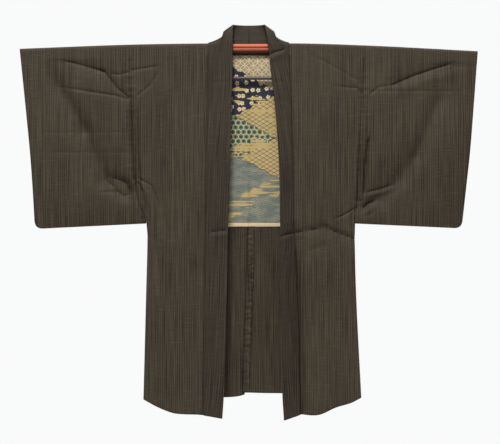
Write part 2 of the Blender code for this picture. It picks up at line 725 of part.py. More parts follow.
def make_hanger_bar():
    """The bar's middle, and the two arms inside the shoulders and sleeves that droop with them."""
    arm_start = BAR_MIDDLE_REACH + SEAM_GAP
    make_bar("hanger_bar", -BAR_MIDDLE_REACH, BAR_MIDDLE_REACH, BAR_MIDDLE_SECTIONS)
    make_bar("hanger_arm_right", -BAR_REACH, -arm_start, BAR_ARM_SECTIONS)
    make_bar("hanger_arm_left", arm_start, BAR_REACH, BAR_ARM_SECTIONS)


def make_rail():
    """Slim lower rail, its two ends turned up to the underside of the bar."""
    bar_foot = ridge_height("right", 0.0) - CLOTH / 2 - SEAM_GAP - BAR_HEIGHT
    top = bar_foot - SEAM_GAP
    level = -RAIL_HEIGHT_BELOW_ORIGIN
    bend = RAIL_BEND_RADIUS
    path = [Vector((-RAIL_HALF_WIDTH, 0.0, top))]
    for index in range(6):
        turn = index / 5 * math.pi / 2
        path.append(Vector((
            -RAIL_HALF_WIDTH + bend - bend * math.cos(turn), 0.0, level + bend - bend * math.sin(turn),
        )))
    path += [Vector((-point.x, 0.0, point.z)) for point in reversed(path)]
    last = len(path) - 1

    def place(column, row):
        ahead = path[min(row + 1, last)]
        behind = path[max(row - 1, 0)]
        travel = (ahead - behind).normalized()
        if row in (0, last):
            travel = Vector((0.0, 0.0, -1.0 if row == 0 else 1.0))
        across = travel.cross(Vector((0.0, 1.0, 0.0)))
        turn = column / RAIL_SIDES * 2.0 * math.pi
        return path[row] + across * RAIL_RADIUS * math.cos(turn) + Vector((0.0, RAIL_RADIUS * math.sin(turn), 0.0))

    bm = make_sheet(RAIL_SIDES, last, place, joined=True)
    close_ends(bm)
    return add_object("hanger_rail", bm, DARK_METAL)


def main():
    clear_scene()
    for side in SIGN:
        make_body(side)
        make_sleeve(side)
        make_band(side)
        make_gusset(side)
    make_lining()
    make_hanger_bar()
    make_rail()


main()
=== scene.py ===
"""Looks of a man's haori, the open jacket worn over a kimono, hanging on its hanger bar.

Metres, +Z up, +X to the viewer's right, the fronts facing -Y. Left and right are the wearer's. Each
piece of cloth is a thin shell on its solid's form, with the creases that the jacket hangs in.

A place on the cloth is given by "out", the distance from the centre line, and "run", the distance
along the cloth from the shoulder ridge, less than nothing down the front and more than nothing down
the back.
"""

import math
from collections import namedtuple

import bmesh
import bpy
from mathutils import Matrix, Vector, noise


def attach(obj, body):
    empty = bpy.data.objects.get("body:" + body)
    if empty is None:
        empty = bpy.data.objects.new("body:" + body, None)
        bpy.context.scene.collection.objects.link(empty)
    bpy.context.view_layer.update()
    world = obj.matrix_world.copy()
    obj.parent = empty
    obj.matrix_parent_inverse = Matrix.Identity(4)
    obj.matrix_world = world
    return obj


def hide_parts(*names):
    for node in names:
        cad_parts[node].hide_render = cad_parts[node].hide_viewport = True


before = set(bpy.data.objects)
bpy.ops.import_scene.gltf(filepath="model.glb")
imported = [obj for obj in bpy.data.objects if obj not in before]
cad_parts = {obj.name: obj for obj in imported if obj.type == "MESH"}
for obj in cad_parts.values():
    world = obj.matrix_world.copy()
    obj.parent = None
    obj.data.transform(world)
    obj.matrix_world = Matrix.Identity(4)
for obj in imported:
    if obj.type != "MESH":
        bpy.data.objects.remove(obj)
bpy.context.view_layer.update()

# Cloth
CLOTH = 0.0016
LINING_CLOTH = 0.0010
SEAM_GAP = 0.0003
BAND_FOLD_RADIUS = 0.0012
BAND_OVERLAP = 0.0065

# Hanger
BAR_RIB_RADIUS = 0.0062
BAR_HEIGHT = 0.0256
BAR_WEB_HALF_DEPTH = 0.0042
BAR_REACH = 0.612
BAR_MIDDLE_REACH = 0.112
RAIL_RADIUS = 0.0046
RAIL_HEIGHT_BELOW_ORIGIN = 0.0845
RAIL_HALF_WIDTH = 0.085
RAIL_BEND_RADIUS = 0.016

# The garment's depth, measured from the plane of the bar to the middle of the wall
RIDGE_RADIUS = BAR_RIB_RADIUS + SEAM_GAP + CLOTH / 2
QUARTER_TURN = RIDGE_RADIUS * math.pi / 2
BODY_HALF_DEPTH = 0.026
DEPTH_GROWTH_LENGTH = 0.25
FLAT_OUT = 0.14
SLEEVE_EDGE_RADIUS = 0.0036
SLEEVE_EDGE_LENGTH = 0.07

# Neck, heights, and distances below the ridge
NECK_OUT = 0.106
SLEEVE_FOOT = -0.490
ARMHOLE_FOOT = -0.479
LINING_FOOT = -0.500
BAR_CLEAR_BELOW_RIDGE = 0.030
SLEEVE_CORNER_RADIUS = 0.022

# Gusset, folded inwards between front and back
GUSSET_HALF_WIDTH_AT_HEM = 0.0330
GUSSET_HALF_WIDTH_AT_TOP = 0.0115
GUSSET_BELOW_SLEEVE = 0.004
GUSSET_LEAST_SLACK = 1.05
HEM_CORNER = -0.97

# Height of the shoulder ridge's outer surface, by distance out from the centre
Ridge = namedtuple("Ridge", "out height")
RIDGE = {
    "right": [Ridge(0.000, 0.0130), Ridge(0.115, 0.0129), Ridge(0.330, 0.0095), Ridge(0.641, -0.0022)],
    "left": [Ridge(0.000, 0.0130), Ridge(0.109, 0.0132), Ridge(0.322, 0.0075), Ridge(0.639, -0.0086)],
}

# Collar band down the front: its folded edge at the opening, and its free edge on the front
Band = namedtuple("Band", "height fold_out fold_depth edge_out")
BAND = {
    "right": [
        Band(-1.0325, 0.0738, 0.0330, 0.1258),
        Band(-0.9755, 0.0699, 0.0335, 0.1249),
        Band(-0.7127, 0.0615, 0.0330, 0.1216),
        Band(-0.4444, 0.0570, 0.0300, 0.1179),
        Band(-0.2236, 0.0503, 0.0250, 0.1150),
        Band(-0.0894, 0.0461, 0.0205, 0.1146),
        Band(-0.0300, 0.0455, 0.0190, 0.1146),
    ],
    "left": [
        Band(-1.0370, 0.0964, 0.0370, 0.1411),
        Band(-0.9700, 0.0922, 0.0375, 0.1402),
        Band(-0.7127, 0.0866, 0.0370, 0.1365),
        Band(-0.5003, 0.0858, 0.0345, 0.1240),
        Band(-0.3102, 0.0822, 0.0300, 0.1200),
        Band(-0.1342, 0.0688, 0.0240, 0.1160),
        Band(-0.0447, 0.0573, 0.0200, 0.1120),
    ],
}

# Collar band round the neck, from the front of the shoulder to the centre back. The seam and the
# free edge lie on the body's cloth, at a turn in degrees over the bar and at a run along the cloth.
# The folded edge stands clear of it, and the cloth between sags by the last column.
NeckRing = namedtuple(
    "NeckRing", "place seam_out seam_turn edge_out edge_run fold_out fold_depth fold_height sag"
)
NECK_RINGS = {
    "right": [
        NeckRing(0, 0.1060, -90.0, 0.1146, -0.0115, 0.0450, -0.0195, 0.0180, 0.0010),
        NeckRing(1, 0.1060, -60.0, 0.1140, -0.0076, 0.0447, -0.0175, 0.0400, 0.0040),
        NeckRing(2, 0.1060, -30.0, 0.1130, -0.0038, 0.0445, -0.0135, 0.0520, 0.0070),
        NeckRing(3, 0.1060, 0.0, 0.1115, 0.0010, 0.0440, -0.0070, 0.0600, 0.0085),
        NeckRing(4, 0.1060, 30.0, 0.1100, 0.0070, 0.0425, 0.0000, 0.0636, 0.0060),
        NeckRing(5, 0.1050, 58.0, 0.1060, 0.0150, 0.0390, 0.0070, 0.0650, 0.0020),
        NeckRing(6, 0.0830, 60.0, 0.0850, 0.0176, 0.0310, 0.0130, 0.0654, 0.0000),
        NeckRing(7, 0.0480, 60.0, 0.0490, 0.0176, 0.0175, 0.0170, 0.0654, 0.0000),
        NeckRing(8, 0.0000, 60.0, 0.0000, 0.0176, 0.0000, 0.0185, 0.0654, 0.0000),
    ],
    "left": [
        NeckRing(0, 0.1060, -90.0, 0.1115, -0.0115, 0.0510, -0.0200, 0.0160, 0.0010),
        NeckRing(1, 0.1060, -60.0, 0.1120, -0.0076, 0.0480, -0.0180, 0.0380, 0.0040),
        NeckRing(2, 0.1060, -30.0, 0.1120, -0.0038, 0.0455, -0.0135, 0.0510, 0.0070),
        NeckRing(3, 0.1060, 0.0, 0.1115, 0.0010, 0.0435, -0.0070, 0.0597, 0.0085),
        NeckRing(4, 0.1060, 30.0, 0.1100, 0.0070, 0.0420, 0.0000, 0.0635, 0.0060),
        NeckRing(5, 0.1050, 58.0, 0.1060, 0.0150, 0.0385, 0.0070, 0.0650, 0.0020),
        NeckRing(6, 0.0830, 60.0, 0.0850, 0.0176, 0.0310, 0.0130, 0.0654, 0.0000),
        NeckRing(7, 0.0480, 60.0, 0.0490, 0.0176, 0.0175, 0.0170, 0.0654, 0.0000),
        NeckRing(8, 0.0000, 60.0, 0.0000, 0.0176, 0.0000, 0.0185, 0.0654, 0.0000),
    ],
}

# Outer edge of the body: the armhole seam down to the sleeve's foot, then the gusset's seam
SideEdge = namedtuple("SideEdge", "height out")
SIDE_EDGE = {
    "right": [
        SideEdge(-1.0400, 0.2950), SideEdge(-0.9800, 0.2935), SideEdge(-0.6680, 0.2860),
        SideEdge(-0.5250, 0.2830), SideEdge(-0.5000, 0.2850), SideEdge(-0.4790, 0.2880),
        SideEdge(-0.4400, 0.3060), SideEdge(-0.3630, 0.3200), SideEdge(-0.2290, 0.3260),
        SideEdge(-0.1260, 0.3310), SideEdge(0.0130, 0.3330),
    ],
    "left": [
        SideEdge(-1.0400, 0.3155), SideEdge(-0.9740, 0.3122), SideEdge(-0.6680, 0.2977),
        SideEdge(-0.5250, 0.2950), SideEdge(-0.5000, 0.2955), SideEdge(-0.4790, 0.2965),
        SideEdge(-0.4360, 0.3010), SideEdge(-0.3580, 0.3061), SideEdge(-0.2290, 0.3165),
        SideEdge(-0.1260, 0.3190), SideEdge(0.0130, 0.3234),
    ],
}

# Half depth of the body at its outer edge
EdgeDepth = namedtuple("EdgeDepth", "height half_depth")
EDGE_DEPTH = [
    EdgeDepth(-1.040, 0.0240), EdgeDepth(-0.760, 0.0180), EdgeDepth(-0.490, 0.0110),
    EdgeDepth(-0.300, 0.0100), EdgeDepth(0.013, 0.0100),
]

# Hems, by distance out from the centre
Hem = namedtuple("Hem", "out height")
FRONT_HEM = {
    "right": [
        Hem(0.070, -1.0325), Hem(0.134, -1.0230), Hem(0.180, -1.0205), Hem(0.210, -1.0170),
        Hem(0.252, -1.0020), Hem(0.295, -0.9790),
    ],
    "left": [
        Hem(0.094, -1.0370), Hem(0.143, -1.0243), Hem(0.196, -1.0218), Hem(0.240, -1.0020),
        Hem(0.285, -0.9890), Hem(0.314, -0.9740),
    ],
}
BACK_HEM = {
    "right": [Hem(0.000, -0.9660), Hem(0.022, -0.9746), Hem(0.150, -0.9780), Hem(0.295, -0.9790)],
    "left": [Hem(0.000, -0.9660), Hem(0.093, -0.9690), Hem(0.200, -0.9700), Hem(0.314, -0.9740)],
}

# Sleeve outline: the cuff's two ends and the sharp corner that the rounded one is cut from
SleeveOutline = namedtuple("SleeveOutline", "cuff_top_out cuff_low_out cuff_low corner_out corner")
SLEEVE = {
    "right": SleeveOutline(0.6400, 0.6065, -0.3214, 0.5975, -0.5050),
    "left": SleeveOutline(0.6385, 0.6150, -0.3100, 0.5935, -0.5035),
}

# Half depth of a sleeve, by the share of the way from the armhole to the cuff
SleeveDepth = namedtuple("SleeveDepth", "share half_depth")
SLEEVE_DEPTH = [
    SleeveDepth(0.00, 0.0106), SleeveDepth(0.20, 0.0170), SleeveDepth(0.50, 0.0195),
    SleeveDepth(1.00, 0.0150),
]

# Shares of the way from the armhole to the cuff: the two ends of the rounded corner, where the foot
# has closed to a pressed edge, where the armhole seam's curve has died away, and where the folds have
# begun to fade towards the foot
SLEEVE_CORNER_FROM = 0.84
SLEEVE_CORNER_TO = 0.92
SLEEVE_CLOSES_BY = 0.229
SLEEVE_SEAM_CURVES_BY = 0.10
SLEEVE_FOOT_FADE_BY = 0.03

# Troughs (less than nothing) and ridges by side and face, each along a line of (out, height) points.
# Softness 2 is a round fold and 1 a pressed crease. The folds are the solids' own. The creases are
# added here, and each is faint at its first point.
Crease = namedtuple("Crease", "half_width lift softness points")
FOLDS = {
    ("right", "front"): [
        Crease(0.020, -0.0025, 2.0, [(0.556, -0.024), (0.430, -0.060)]),
        Crease(0.022, -0.0030, 2.0, [(0.430, -0.060), (0.340, -0.136)]),
        Crease(0.026, -0.0035, 2.0, [(0.545, -0.080), (0.461, -0.229)]),
        Crease(0.026, -0.0050, 2.0, [(0.461, -0.229), (0.400, -0.369)]),
        Crease(0.024, -0.0045, 2.0, [(0.400, -0.369), (0.335, -0.402)]),
        Crease(0.018, 0.0035, 2.0, [(0.312, -0.130), (0.300, -0.470)]),
        Crease(0.022, -0.0040, 2.0, [(0.150, -0.620), (0.146, -1.030)]),
        Crease(0.034, 0.0045, 2.0, [(0.215, -0.560), (0.205, -1.030)]),
    ],
    ("left", "front"): [
        Crease(0.020, -0.0030, 2.0, [(0.625, -0.030), (0.400, -0.100)]),
        Crease(0.028, -0.0050, 2.0, [(0.531, -0.148), (0.416, -0.355)]),
        Crease(0.018, -0.0035, 2.0, [(0.328, -0.270), (0.310, -0.440)]),
        Crease(0.022, -0.0050, 2.0, [(0.212, -0.503), (0.290, -0.534)]),
        Crease(0.022, -0.0035, 2.0, [(0.100, -0.525), (0.196, -0.508)]),
        Crease(0.017, -0.0070, 2.0, [(0.140, -0.540), (0.149, -1.030)]),
        Crease(0.032, 0.0050, 2.0, [(0.222, -0.600), (0.232, -1.030)]),
    ],
    ("right", "back"): [
        Crease(0.026, -0.0030, 2.0, [(0.560, -0.060), (0.420, -0.200)]),
        Crease(0.026, -0.0045, 2.0, [(0.420, -0.200), (0.345, -0.380)]),
        Crease(0.034, -0.0050, 2.0, [(0.160, -0.600), (0.175, -0.970)]),
        Crease(0.028, 0.0040, 2.0, [(0.080, -0.640), (0.070, -0.970)]),
    ],
    ("left", "back"): [
        Crease(0.024, -0.0030, 2.0, [(0.600, -0.060), (0.430, -0.160)]),
        Crease(0.028, -0.0050, 2.0, [(0.520, -0.190), (0.400, -0.360)]),
        Crease(0.034, -0.0055, 2.0, [(0.185, -0.610), (0.200, -0.970)]),
        Crease(0.028, 0.0040, 2.0, [(0.100, -0.620), (0.092, -0.970)]),
    ],
}
CREASES = {
    ("right", "front"): [
        # Sleeve and armhole
        Crease(0.0041, -0.0048, 1.2, [(0.590, -0.018), (0.500, -0.040), (0.405, -0.066)]),
        Crease(0.0038, -0.0055, 1.2, [
            (0.428, -0.059), (0.405, -0.066), (0.369, -0.112), (0.338, -0.137),
        ]),
        Crease(0.0033, -0.0033, 1.2, [(0.392, -0.072), (0.362, -0.076), (0.340, -0.070)]),
        Crease(0.0036, -0.0039, 1.2, [
            (0.535, -0.108), (0.444, -0.123), (0.376, -0.133), (0.338, -0.143),
        ]),
        Crease(0.0190, -0.0062, 2.0, [
            (0.550, -0.066), (0.537, -0.106), (0.506, -0.150), (0.461, -0.229),
        ]),
        Crease(0.0240, -0.0095, 2.0, [
            (0.480, -0.190), (0.436, -0.305), (0.405, -0.365), (0.349, -0.400),
        ]),
        Crease(0.0300, -0.0075, 2.0, [(0.400, -0.270), (0.375, -0.350), (0.350, -0.400)]),
        Crease(0.0060, -0.0070, 1.4, [(0.370, -0.366), (0.352, -0.370), (0.342, -0.376)]),
        Crease(0.0040, -0.0037, 1.3, [(0.420, -0.404), (0.372, -0.402), (0.342, -0.392)]),
        Crease(0.0040, -0.0011, 1.3, [(0.600, -0.238), (0.345, -0.236)]),
        Crease(0.0040, -0.0012, 1.3, [(0.600, -0.294), (0.345, -0.292)]),
        Crease(0.0033, -0.0033, 1.2, [(0.246, -0.051), (0.290, -0.057), (0.327, -0.063)]),
        Crease(0.0036, -0.0035, 1.2, [(0.250, -0.062), (0.274, -0.103), (0.308, -0.132)]),
        Crease(0.0040, 0.0044, 1.6, [(0.319, -0.110), (0.318, -0.180), (0.317, -0.260), (0.314, -0.372)]),
        Crease(0.0030, -0.0050, 1.4, [
            (0.310, -0.116), (0.309, -0.229), (0.306, -0.337), (0.298, -0.400),
        ]),
        Crease(0.0034, -0.0040, 1.4, [
            (0.329, -0.090), (0.328, -0.180), (0.327, -0.260), (0.322, -0.372),
        ]),
        Crease(0.0030, -0.0037, 1.4, [
            (0.277, -0.486), (0.290, -0.430), (0.303, -0.385), (0.318, -0.366),
        ]),
        Crease(0.0033, -0.0037, 1.3, [(0.248, -0.446), (0.272, -0.385), (0.306, -0.366)]),
        Crease(0.0046, 0.0030, 1.5, [(0.268, -0.470), (0.282, -0.410), (0.306, -0.372)]),
        Crease(0.0140, -0.0030, 2.0, [(0.243, -0.470), (0.238, -0.390), (0.236, -0.330)]),
        # Front
        Crease(0.0032, -0.0013, 1.3, [(0.284, -0.780), (0.125, -0.786)]),
        Crease(0.0033, -0.0022, 1.3, [(0.236, -0.544), (0.282, -0.526)]),
        Crease(0.0110, -0.0024, 2.0, [(0.250, -0.620), (0.240, -0.800), (0.246, -0.960)]),
    ],
    ("left", "front"): [
        # Sleeve and armhole
        Crease(0.0037, -0.0059, 1.2, [
            (0.640, -0.016), (0.553, -0.047), (0.461, -0.078), (0.401, -0.104),
        ]),
        Crease(0.0150, 0.0026, 2.0, [(0.600, -0.060), (0.500, -0.090), (0.420, -0.120)]),
        Crease(0.0033, -0.0017, 1.3, [(0.620, -0.122), (0.440, -0.121), (0.345, -0.122)]),
        Crease(0.0033, -0.0028, 1.3, [(0.400, -0.105), (0.362, -0.110), (0.340, -0.128)]),
        Crease(0.0160, -0.0050, 2.0, [
            (0.540, -0.120), (0.519, -0.173), (0.500, -0.226), (0.470, -0.302),
        ]),
        Crease(0.0220, -0.0090, 2.0, [
            (0.500, -0.226), (0.470, -0.302), (0.420, -0.370), (0.370, -0.420),
        ]),
        Crease(0.0300, -0.0046, 2.0, [(0.400, -0.290), (0.380, -0.360), (0.345, -0.430)]),
        Crease(0.0033, -0.0052, 1.2, [(0.406, -0.380), (0.372, -0.392), (0.333, -0.402)]),
        Crease(0.0048, 0.0028, 1.6, [(0.410, -0.392), (0.372, -0.404), (0.340, -0.412)]),
        Crease(0.0036, -0.0085, 1.4, [
            (0.338, -0.240), (0.333, -0.264), (0.325, -0.340), (0.320, -0.405),
        ]),
        Crease(0.0042, 0.0050, 1.6, [(0.326, -0.130), (0.323, -0.229), (0.317, -0.330), (0.312, -0.420)]),
        Crease(0.0030, -0.0055, 1.4, [
            (0.315, -0.125), (0.312, -0.230), (0.306, -0.340), (0.302, -0.430),
        ]),
        Crease(0.0050, -0.0050, 1.4, [(0.348, -0.460), (0.336, -0.466), (0.326, -0.470)]),
        Crease(0.0072, -0.0120, 1.4, [(0.356, -0.424), (0.335, -0.432), (0.322, -0.446)]),
        Crease(0.0030, -0.0035, 1.2, [
            (0.236, -0.106), (0.280, -0.112), (0.302, -0.112), (0.314, -0.130),
        ]),
        Crease(0.0030, -0.0018, 1.3, [(0.140, -0.004), (0.203, -0.034), (0.302, -0.090)]),
        Crease(0.0030, -0.0050, 1.2, [(0.238, -0.478), (0.262, -0.468), (0.300, -0.446)]),
        Crease(0.0026, -0.0033, 1.3, [(0.286, -0.470), (0.300, -0.452), (0.306, -0.420)]),
        # Front
        Crease(0.0040, -0.0057, 1.2, [(0.206, -0.494), (0.234, -0.511), (0.296, -0.535)]),
        Crease(0.0090, 0.0036, 1.6, [(0.200, -0.480), (0.232, -0.496), (0.290, -0.516)]),
        Crease(0.0042, -0.0070, 1.2, [
            (0.212, -0.500), (0.190, -0.505), (0.150, -0.512), (0.120, -0.518),
        ]),
        Crease(0.0036, -0.0044, 1.2, [(0.224, -0.549), (0.200, -0.553), (0.173, -0.563)]),
        Crease(0.0032, -0.0013, 1.3, [(0.298, -0.762), (0.145, -0.766)]),
        Crease(0.0110, -0.0155, 1.6, [
            (0.125, -0.500), (0.131, -0.640), (0.139, -0.800), (0.145, -1.030),
        ]),
        Crease(0.0150, 0.0030, 2.0, [(0.168, -0.540), (0.176, -0.700), (0.184, -0.900)]),
    ],
    ("left", "band"): [
        Crease(0.0036, -0.0046, 1.2, [(0.140, -0.506), (0.120, -0.514), (0.087, -0.528)]),
        Crease(0.0060, 0.0014, 1.6, [(0.140, -0.520), (0.120, -0.528), (0.087, -0.542)]),
        Crease(0.0029, -0.0009, 1.3, [(0.044, -0.094), (0.110, -0.098)]),
        Crease(0.0029, -0.0009, 1.3, [(0.080, -0.766), (0.140, -0.766)]),
        Crease(0.0034, -0.0050, 1.3, [
            (0.104, -0.001), (0.092, -0.008), (0.074, -0.013), (0.056, -0.022),
        ]),
        Crease(0.0060, 0.0016, 1.6, [(0.100, -0.014), (0.080, -0.024), (0.062, -0.034)]),
    ],
    ("right", "band"): [
        Crease(0.0045, -0.0055, 1.2, [(0.050, -0.508), (0.080, -0.511), (0.118, -0.516)]),
        Crease(0.0060, 0.0014, 1.6, [(0.050, -0.522), (0.080, -0.525), (0.118, -0.530)]),
        Crease(0.0029, -0.0009, 1.3, [(0.040, -0.094), (0.114, -0.100)]),
        Crease(0.0029, -0.0011, 1.3, [(0.060, -0.788), (0.124, -0.784)]),
    ],
    ("right", "back"): [
        Crease(0.0041, -0.0046, 1.2, [(0.610, -0.060), (0.500, -0.095), (0.400, -0.150)]),
        Crease(0.0180, -0.0058, 2.0, [(0.540, -0.150), (0.450, -0.310), (0.345, -0.410)]),
        Crease(0.0037, -0.0033, 1.2, [(0.230, -0.225), (0.280, -0.210), (0.326, -0.180)]),
        Crease(0.0033, -0.0037, 1.3, [(0.240, -0.450), (0.270, -0.400), (0.312, -0.376)]),
        Crease(0.0042, 0.0030, 1.6, [(0.319, -0.120), (0.317, -0.260), (0.312, -0.380)]),
        Crease(0.0034, -0.0037, 1.2, [(0.160, -0.522), (0.220, -0.508), (0.276, -0.500)]),
        Crease(0.0032, -0.0013, 1.3, [(0.010, -0.772), (0.284, -0.766)]),
        # Groove beside the turned-in cloth of the centre back seam, one line told to both panels
        Crease(0.0042, 0.0064, 1.4, [
            (0.0035, -0.480), (0.0035, -0.530), (0.0100, -0.760), (0.0165, -0.975),
        ]),
        # Soft form of the inside below the lining
        Crease(0.0220, -0.0030, 2.0, [(0.052, -0.530), (0.050, -0.960)]),
    ],
    ("left", "back"): [
        Crease(0.0040, -0.0048, 1.2, [(0.630, -0.040), (0.520, -0.080), (0.400, -0.118)]),
        Crease(0.0180, -0.0054, 2.0, [(0.560, -0.130), (0.490, -0.290), (0.375, -0.400)]),
        Crease(0.0037, -0.0037, 1.2, [(0.225, -0.372), (0.265, -0.350), (0.306, -0.300)]),
        Crease(0.0037, -0.0042, 1.2, [(0.150, -0.540), (0.200, -0.520), (0.292, -0.494)]),
        Crease(0.0042, 0.0028, 1.6, [(0.310, -0.140), (0.306, -0.280), (0.300, -0.400)]),
        Crease(0.0032, -0.0013, 1.3, [(0.010, -0.772), (0.298, -0.766)]),
        # Groove beside the turned-in cloth of the centre back seam, one line told to both panels
        Crease(0.0042, 0.0064, 1.4, [
            (-0.0035, -0.480), (-0.0035, -0.530), (-0.0100, -0.760), (-0.0165, -0.975),
        ]),
        # Soft form of the inside below the lining
        Crease(0.0450, 0.0070, 2.0, [(0.070, -0.530), (0.085, -0.750), (0.090, -0.970)]),
    ],
}
CREASE_REACH = 3.2
FAINT_START = 0.25
FAINT_LENGTH = 0.35
FOLD_FULL_BELOW_RIDGE = 0.048

# Soft unevenness of hanging cloth: wider than it is tall
RUMPLE_LIFT = 0.0016
RUMPLE_ACROSS = 11.0
RUMPLE_DOWN = 4.0
RIPPLE_LIFT = 0.0004
RIPPLE_ACROSS = 40.0
RIPPLE_DOWN = 18.0

# Layer of the noise that each use of it reads
FRONT_LAYER = 0.0
BACK_LAYER = 7.0
RIPPLE_LAYER = 3.0
PUCKER_LAYER = 5.0
SEAM_CLOTH_LAYER = 8.0
SEAM_CLOTH_EDGE_LAYER = 0.5

# Seams and hems
CLOTH_MEETING = 0.00002
SEAM_DIP = 0.0024
SEAM_DIP_WIDTH = 0.0032
SEAM_SHOWN_OVER_BAR = 0.08
SEAM_SHOWN_LENGTH = 0.016
BAND_GROOVE = 0.0036
BAND_GROOVE_WIDTH = 0.0030
BAND_GROOVE_FROM_EDGE = 0.0014
HEM_ROLL = 0.0014
HEM_ROLL_HEIGHT = 0.0030

# Collar band: how far from its seam its creases are whole, its sag round the neck in shares from the
# fold, and the least squared share of its direction that runs along the wall it is set back from
BAND_CREASE_FROM_SEAM = 0.012
SAG_FROM = 0.34
SAG_DEEPEST = 0.50
SAG_STEP = 1.15
BAND_LEAST_ALONG_WALL = 0.2

# Gathers beside a seam, the height over which the front's seam turns in to the neck, and the angle
# from which an edge is shown sharp
PUCKER_LIFT = 0.0016
PUCKER_WIDTH = 0.014
PUCKERS_A_METRE = 95.0
PUCKER_STRETCH = 0.3
SEAM_CURVES_BELOW = 0.06
SHARP_EDGE = math.radians(50.0)

# The centre back seam hangs aslant below the lining; its turned-in cloth shows on the inside
BackSeam = namedtuple("BackSeam", "height x")
BACK_SEAM = [
    BackSeam(-0.970, -0.0126), BackSeam(-0.760, -0.0056), BackSeam(-0.523, 0.0014),
    BackSeam(-0.400, 0.0000),
]
SEAM_CLOTH_WIDTH = 0.0135
SEAM_CLOTH_WALL = 0.0012
SEAM_CLOTH_STAND = 0.0046
SEAM_CLOTH_ROOT_STAND = 0.35
SEAM_CLOTH_BELOW_LINING = 0.002
SEAM_CLOTH_ABOVE_HEM = 0.004
SEAM_CLOTH_HEM_OUT = 0.01
SEAM_CLOTH_PAST_SEAM = 0.001
SEAM_CLOTH_EDGE_WAVE = 0.12
SEAM_CLOTH_WAVES_A_METRE = 60.0

# Ridges pressed into the lining, and its gathered top edge
LINING_RIDGES = [
    ((0.0012, -0.090), (0.0014, -0.480), 0.0030, 0.0009),
    ((0.0154, -0.325), (0.0320, -0.466), 0.0042, 0.0016),
    ((-0.024, -0.120), (-0.020, -0.300), 0.0060, 0.0008),
    ((0.046, -0.200), (0.052, -0.420), 0.0070, 0.0009),
]
LINING_RIDGE_FAINT = 0.2
LINING_RIDGE_SOFTNESS = 1.5
LINING_EDGE_CLEAR = 0.016
LINING_GATHER = 0.0024
LINING_GATHER_WIDTH = 0.0085

STRIPE_SPACING = 0.0062

# How finely each piece is divided
EDGE_CROWDING = 0.35
BODY_COLUMNS = 88
BACK_NECK_COLUMNS = 26
FACE_ROWS = {
    "front": {"skirt": 74, "waist": 4, "chest": 200, "bar": 8},
    "back": {"skirt": 84, "waist": 4, "chest": 90, "bar": 6},
}
RIDGE_ROWS = 12
NECK_ROWS_OVER_RIDGE = 10
SLEEVE_RINGS = 124
SLEEVE_FRONT_ROWS = 200
SLEEVE_BACK_ROWS = 110
SLEEVE_RIDGE_ROWS = 7
SLEEVE_EDGE_ROWS = 6
SLEEVE_FIRST_ROW_SHARE = 0.15
BAND_RINGS = 230
NECK_RING_STEPS = 12
BAND_INNER_STEPS = 16
BAND_FOLD_STEPS = 8
BAND_OUTER_STEPS = 22
RINGS_EACH_WAY = 3
GUSSET_COLUMNS = 20
GUSSET_ROWS = 90
LINING_COLUMNS = 150
LINING_ROWS = 120
SEAM_CLOTH_COLUMNS = 12
SEAM_CLOTH_ROWS = 220
BAR_RIB_STEPS = 12
BAR_MIDDLE_SECTIONS = 24
BAR_ARM_SECTIONS = 40
RAIL_BEND_STEPS = 12
RAIL_SIDES = 28
FLOOR_SIDES = 96

# Photograph's frame: its size, and the pixel that is the object's origin
PHOTO_WIDTH = 500
PHOTO_HEIGHT = 444
ORIGIN_PIXEL_X = 249.0
ORIGIN_PIXEL_Y = 48.0
METRES_A_PIXEL = 0.002795
CAMERA_DISTANCE = 4.2
SENSOR = 0.036

# Floor and light
FLOOR_HEIGHT = -1.40
FLOOR_RADIUS = 1.8
FLOOR_COLOR = (0.86, 0.86, 0.85, 1.0)
STUDIO_COLOR = (0.95, 0.955, 0.955, 1.0)
STUDIO_LIGHT = 0.28
STUDIO_SEEN = 1.0
LIGHT_TARGET = (0.0, 0.0, -0.45)

# Darkest and lightest thread of the jacket's cloth and of its band, in a screen's 0 to 255
CLOTH_DARK = (37, 31, 23)
CLOTH_LIGHT = (78, 69, 54)
BAND_DARK = (32, 26, 20)
BAND_LIGHT = (66, 58, 46)

# Motifs of the printed lining
RING_RADIUS = 0.0120
BLOSSOM_SPACING = 0.0205
PETALS = 5
HEXAGON_SIZE = 0.0150
FAN_RADIUS = 0.0155
LOZENGE_WIDTH = 0.0200
LOZENGE_SHAPE = 0.6
MIST_BAR_HEIGHT = 0.0085
PANEL_LINE = 0.0007
FOOT_BORDER = 0.0125
PRINT_WAVER = 0.0012
PRINT_WAVERS_A_METRE = 90.0

# Distances below the bar's top where its painted light and painted shade change: a painted highlight on the
# upper rib's top and painted shade under it, then a painted highlight along the lower rib's top and painted
# shade below it
UPPER_RIB_IN_SHADE = 0.0082
LOWER_RIB_FROM = 0.0118
LOWER_RIB_IN_SHADE = 0.0140

SIGN = {"right": -1.0, "left": 1.0}


def mix(a, b, share):
    return a + (b - a) * share


def ease(share):
    share = min(max(share, 0.0), 1.0)
    return share * share * (3.0 - 2.0 * share)


def read_curve(rows, at, column=1):
    """Value of a column at a place in the first column, on a smooth curve through the rows."""
    if at <= rows[0][0]:
        return rows[0][column]
    if at >= rows[-1][0]:
        return rows[-1][column]
    index = 0
    while at > rows[index + 1][0]:
        index += 1

    def slope(low, high):
        return (high[column] - low[column]) / (high[0] - low[0])

    low, high = rows[index], rows[index + 1]
    here = slope(low, high)
    before = slope(rows[index - 1], low) if index > 0 else here
    after = slope(high, rows[index + 2]) if index + 2 < len(rows) else here
    start = (before + here) / 2 if before * here > 0 else 0.0
    end = (after + here) / 2 if after * here > 0 else 0.0
    width = high[0] - low[0]
    share = (at - low[0]) / width
    rest = 1.0 - share
    return (
        low[column] * (1 + 2 * share) * rest ** 2
        + high[column] * (3 - 2 * share) * share ** 2
        + width * share * rest * (start * rest - end * share)
    )


def ridge_height(side, out):
    """Height of the middle of the wall along the shoulder ridge."""
    return read_curve(RIDGE[side], out) - CLOTH / 2


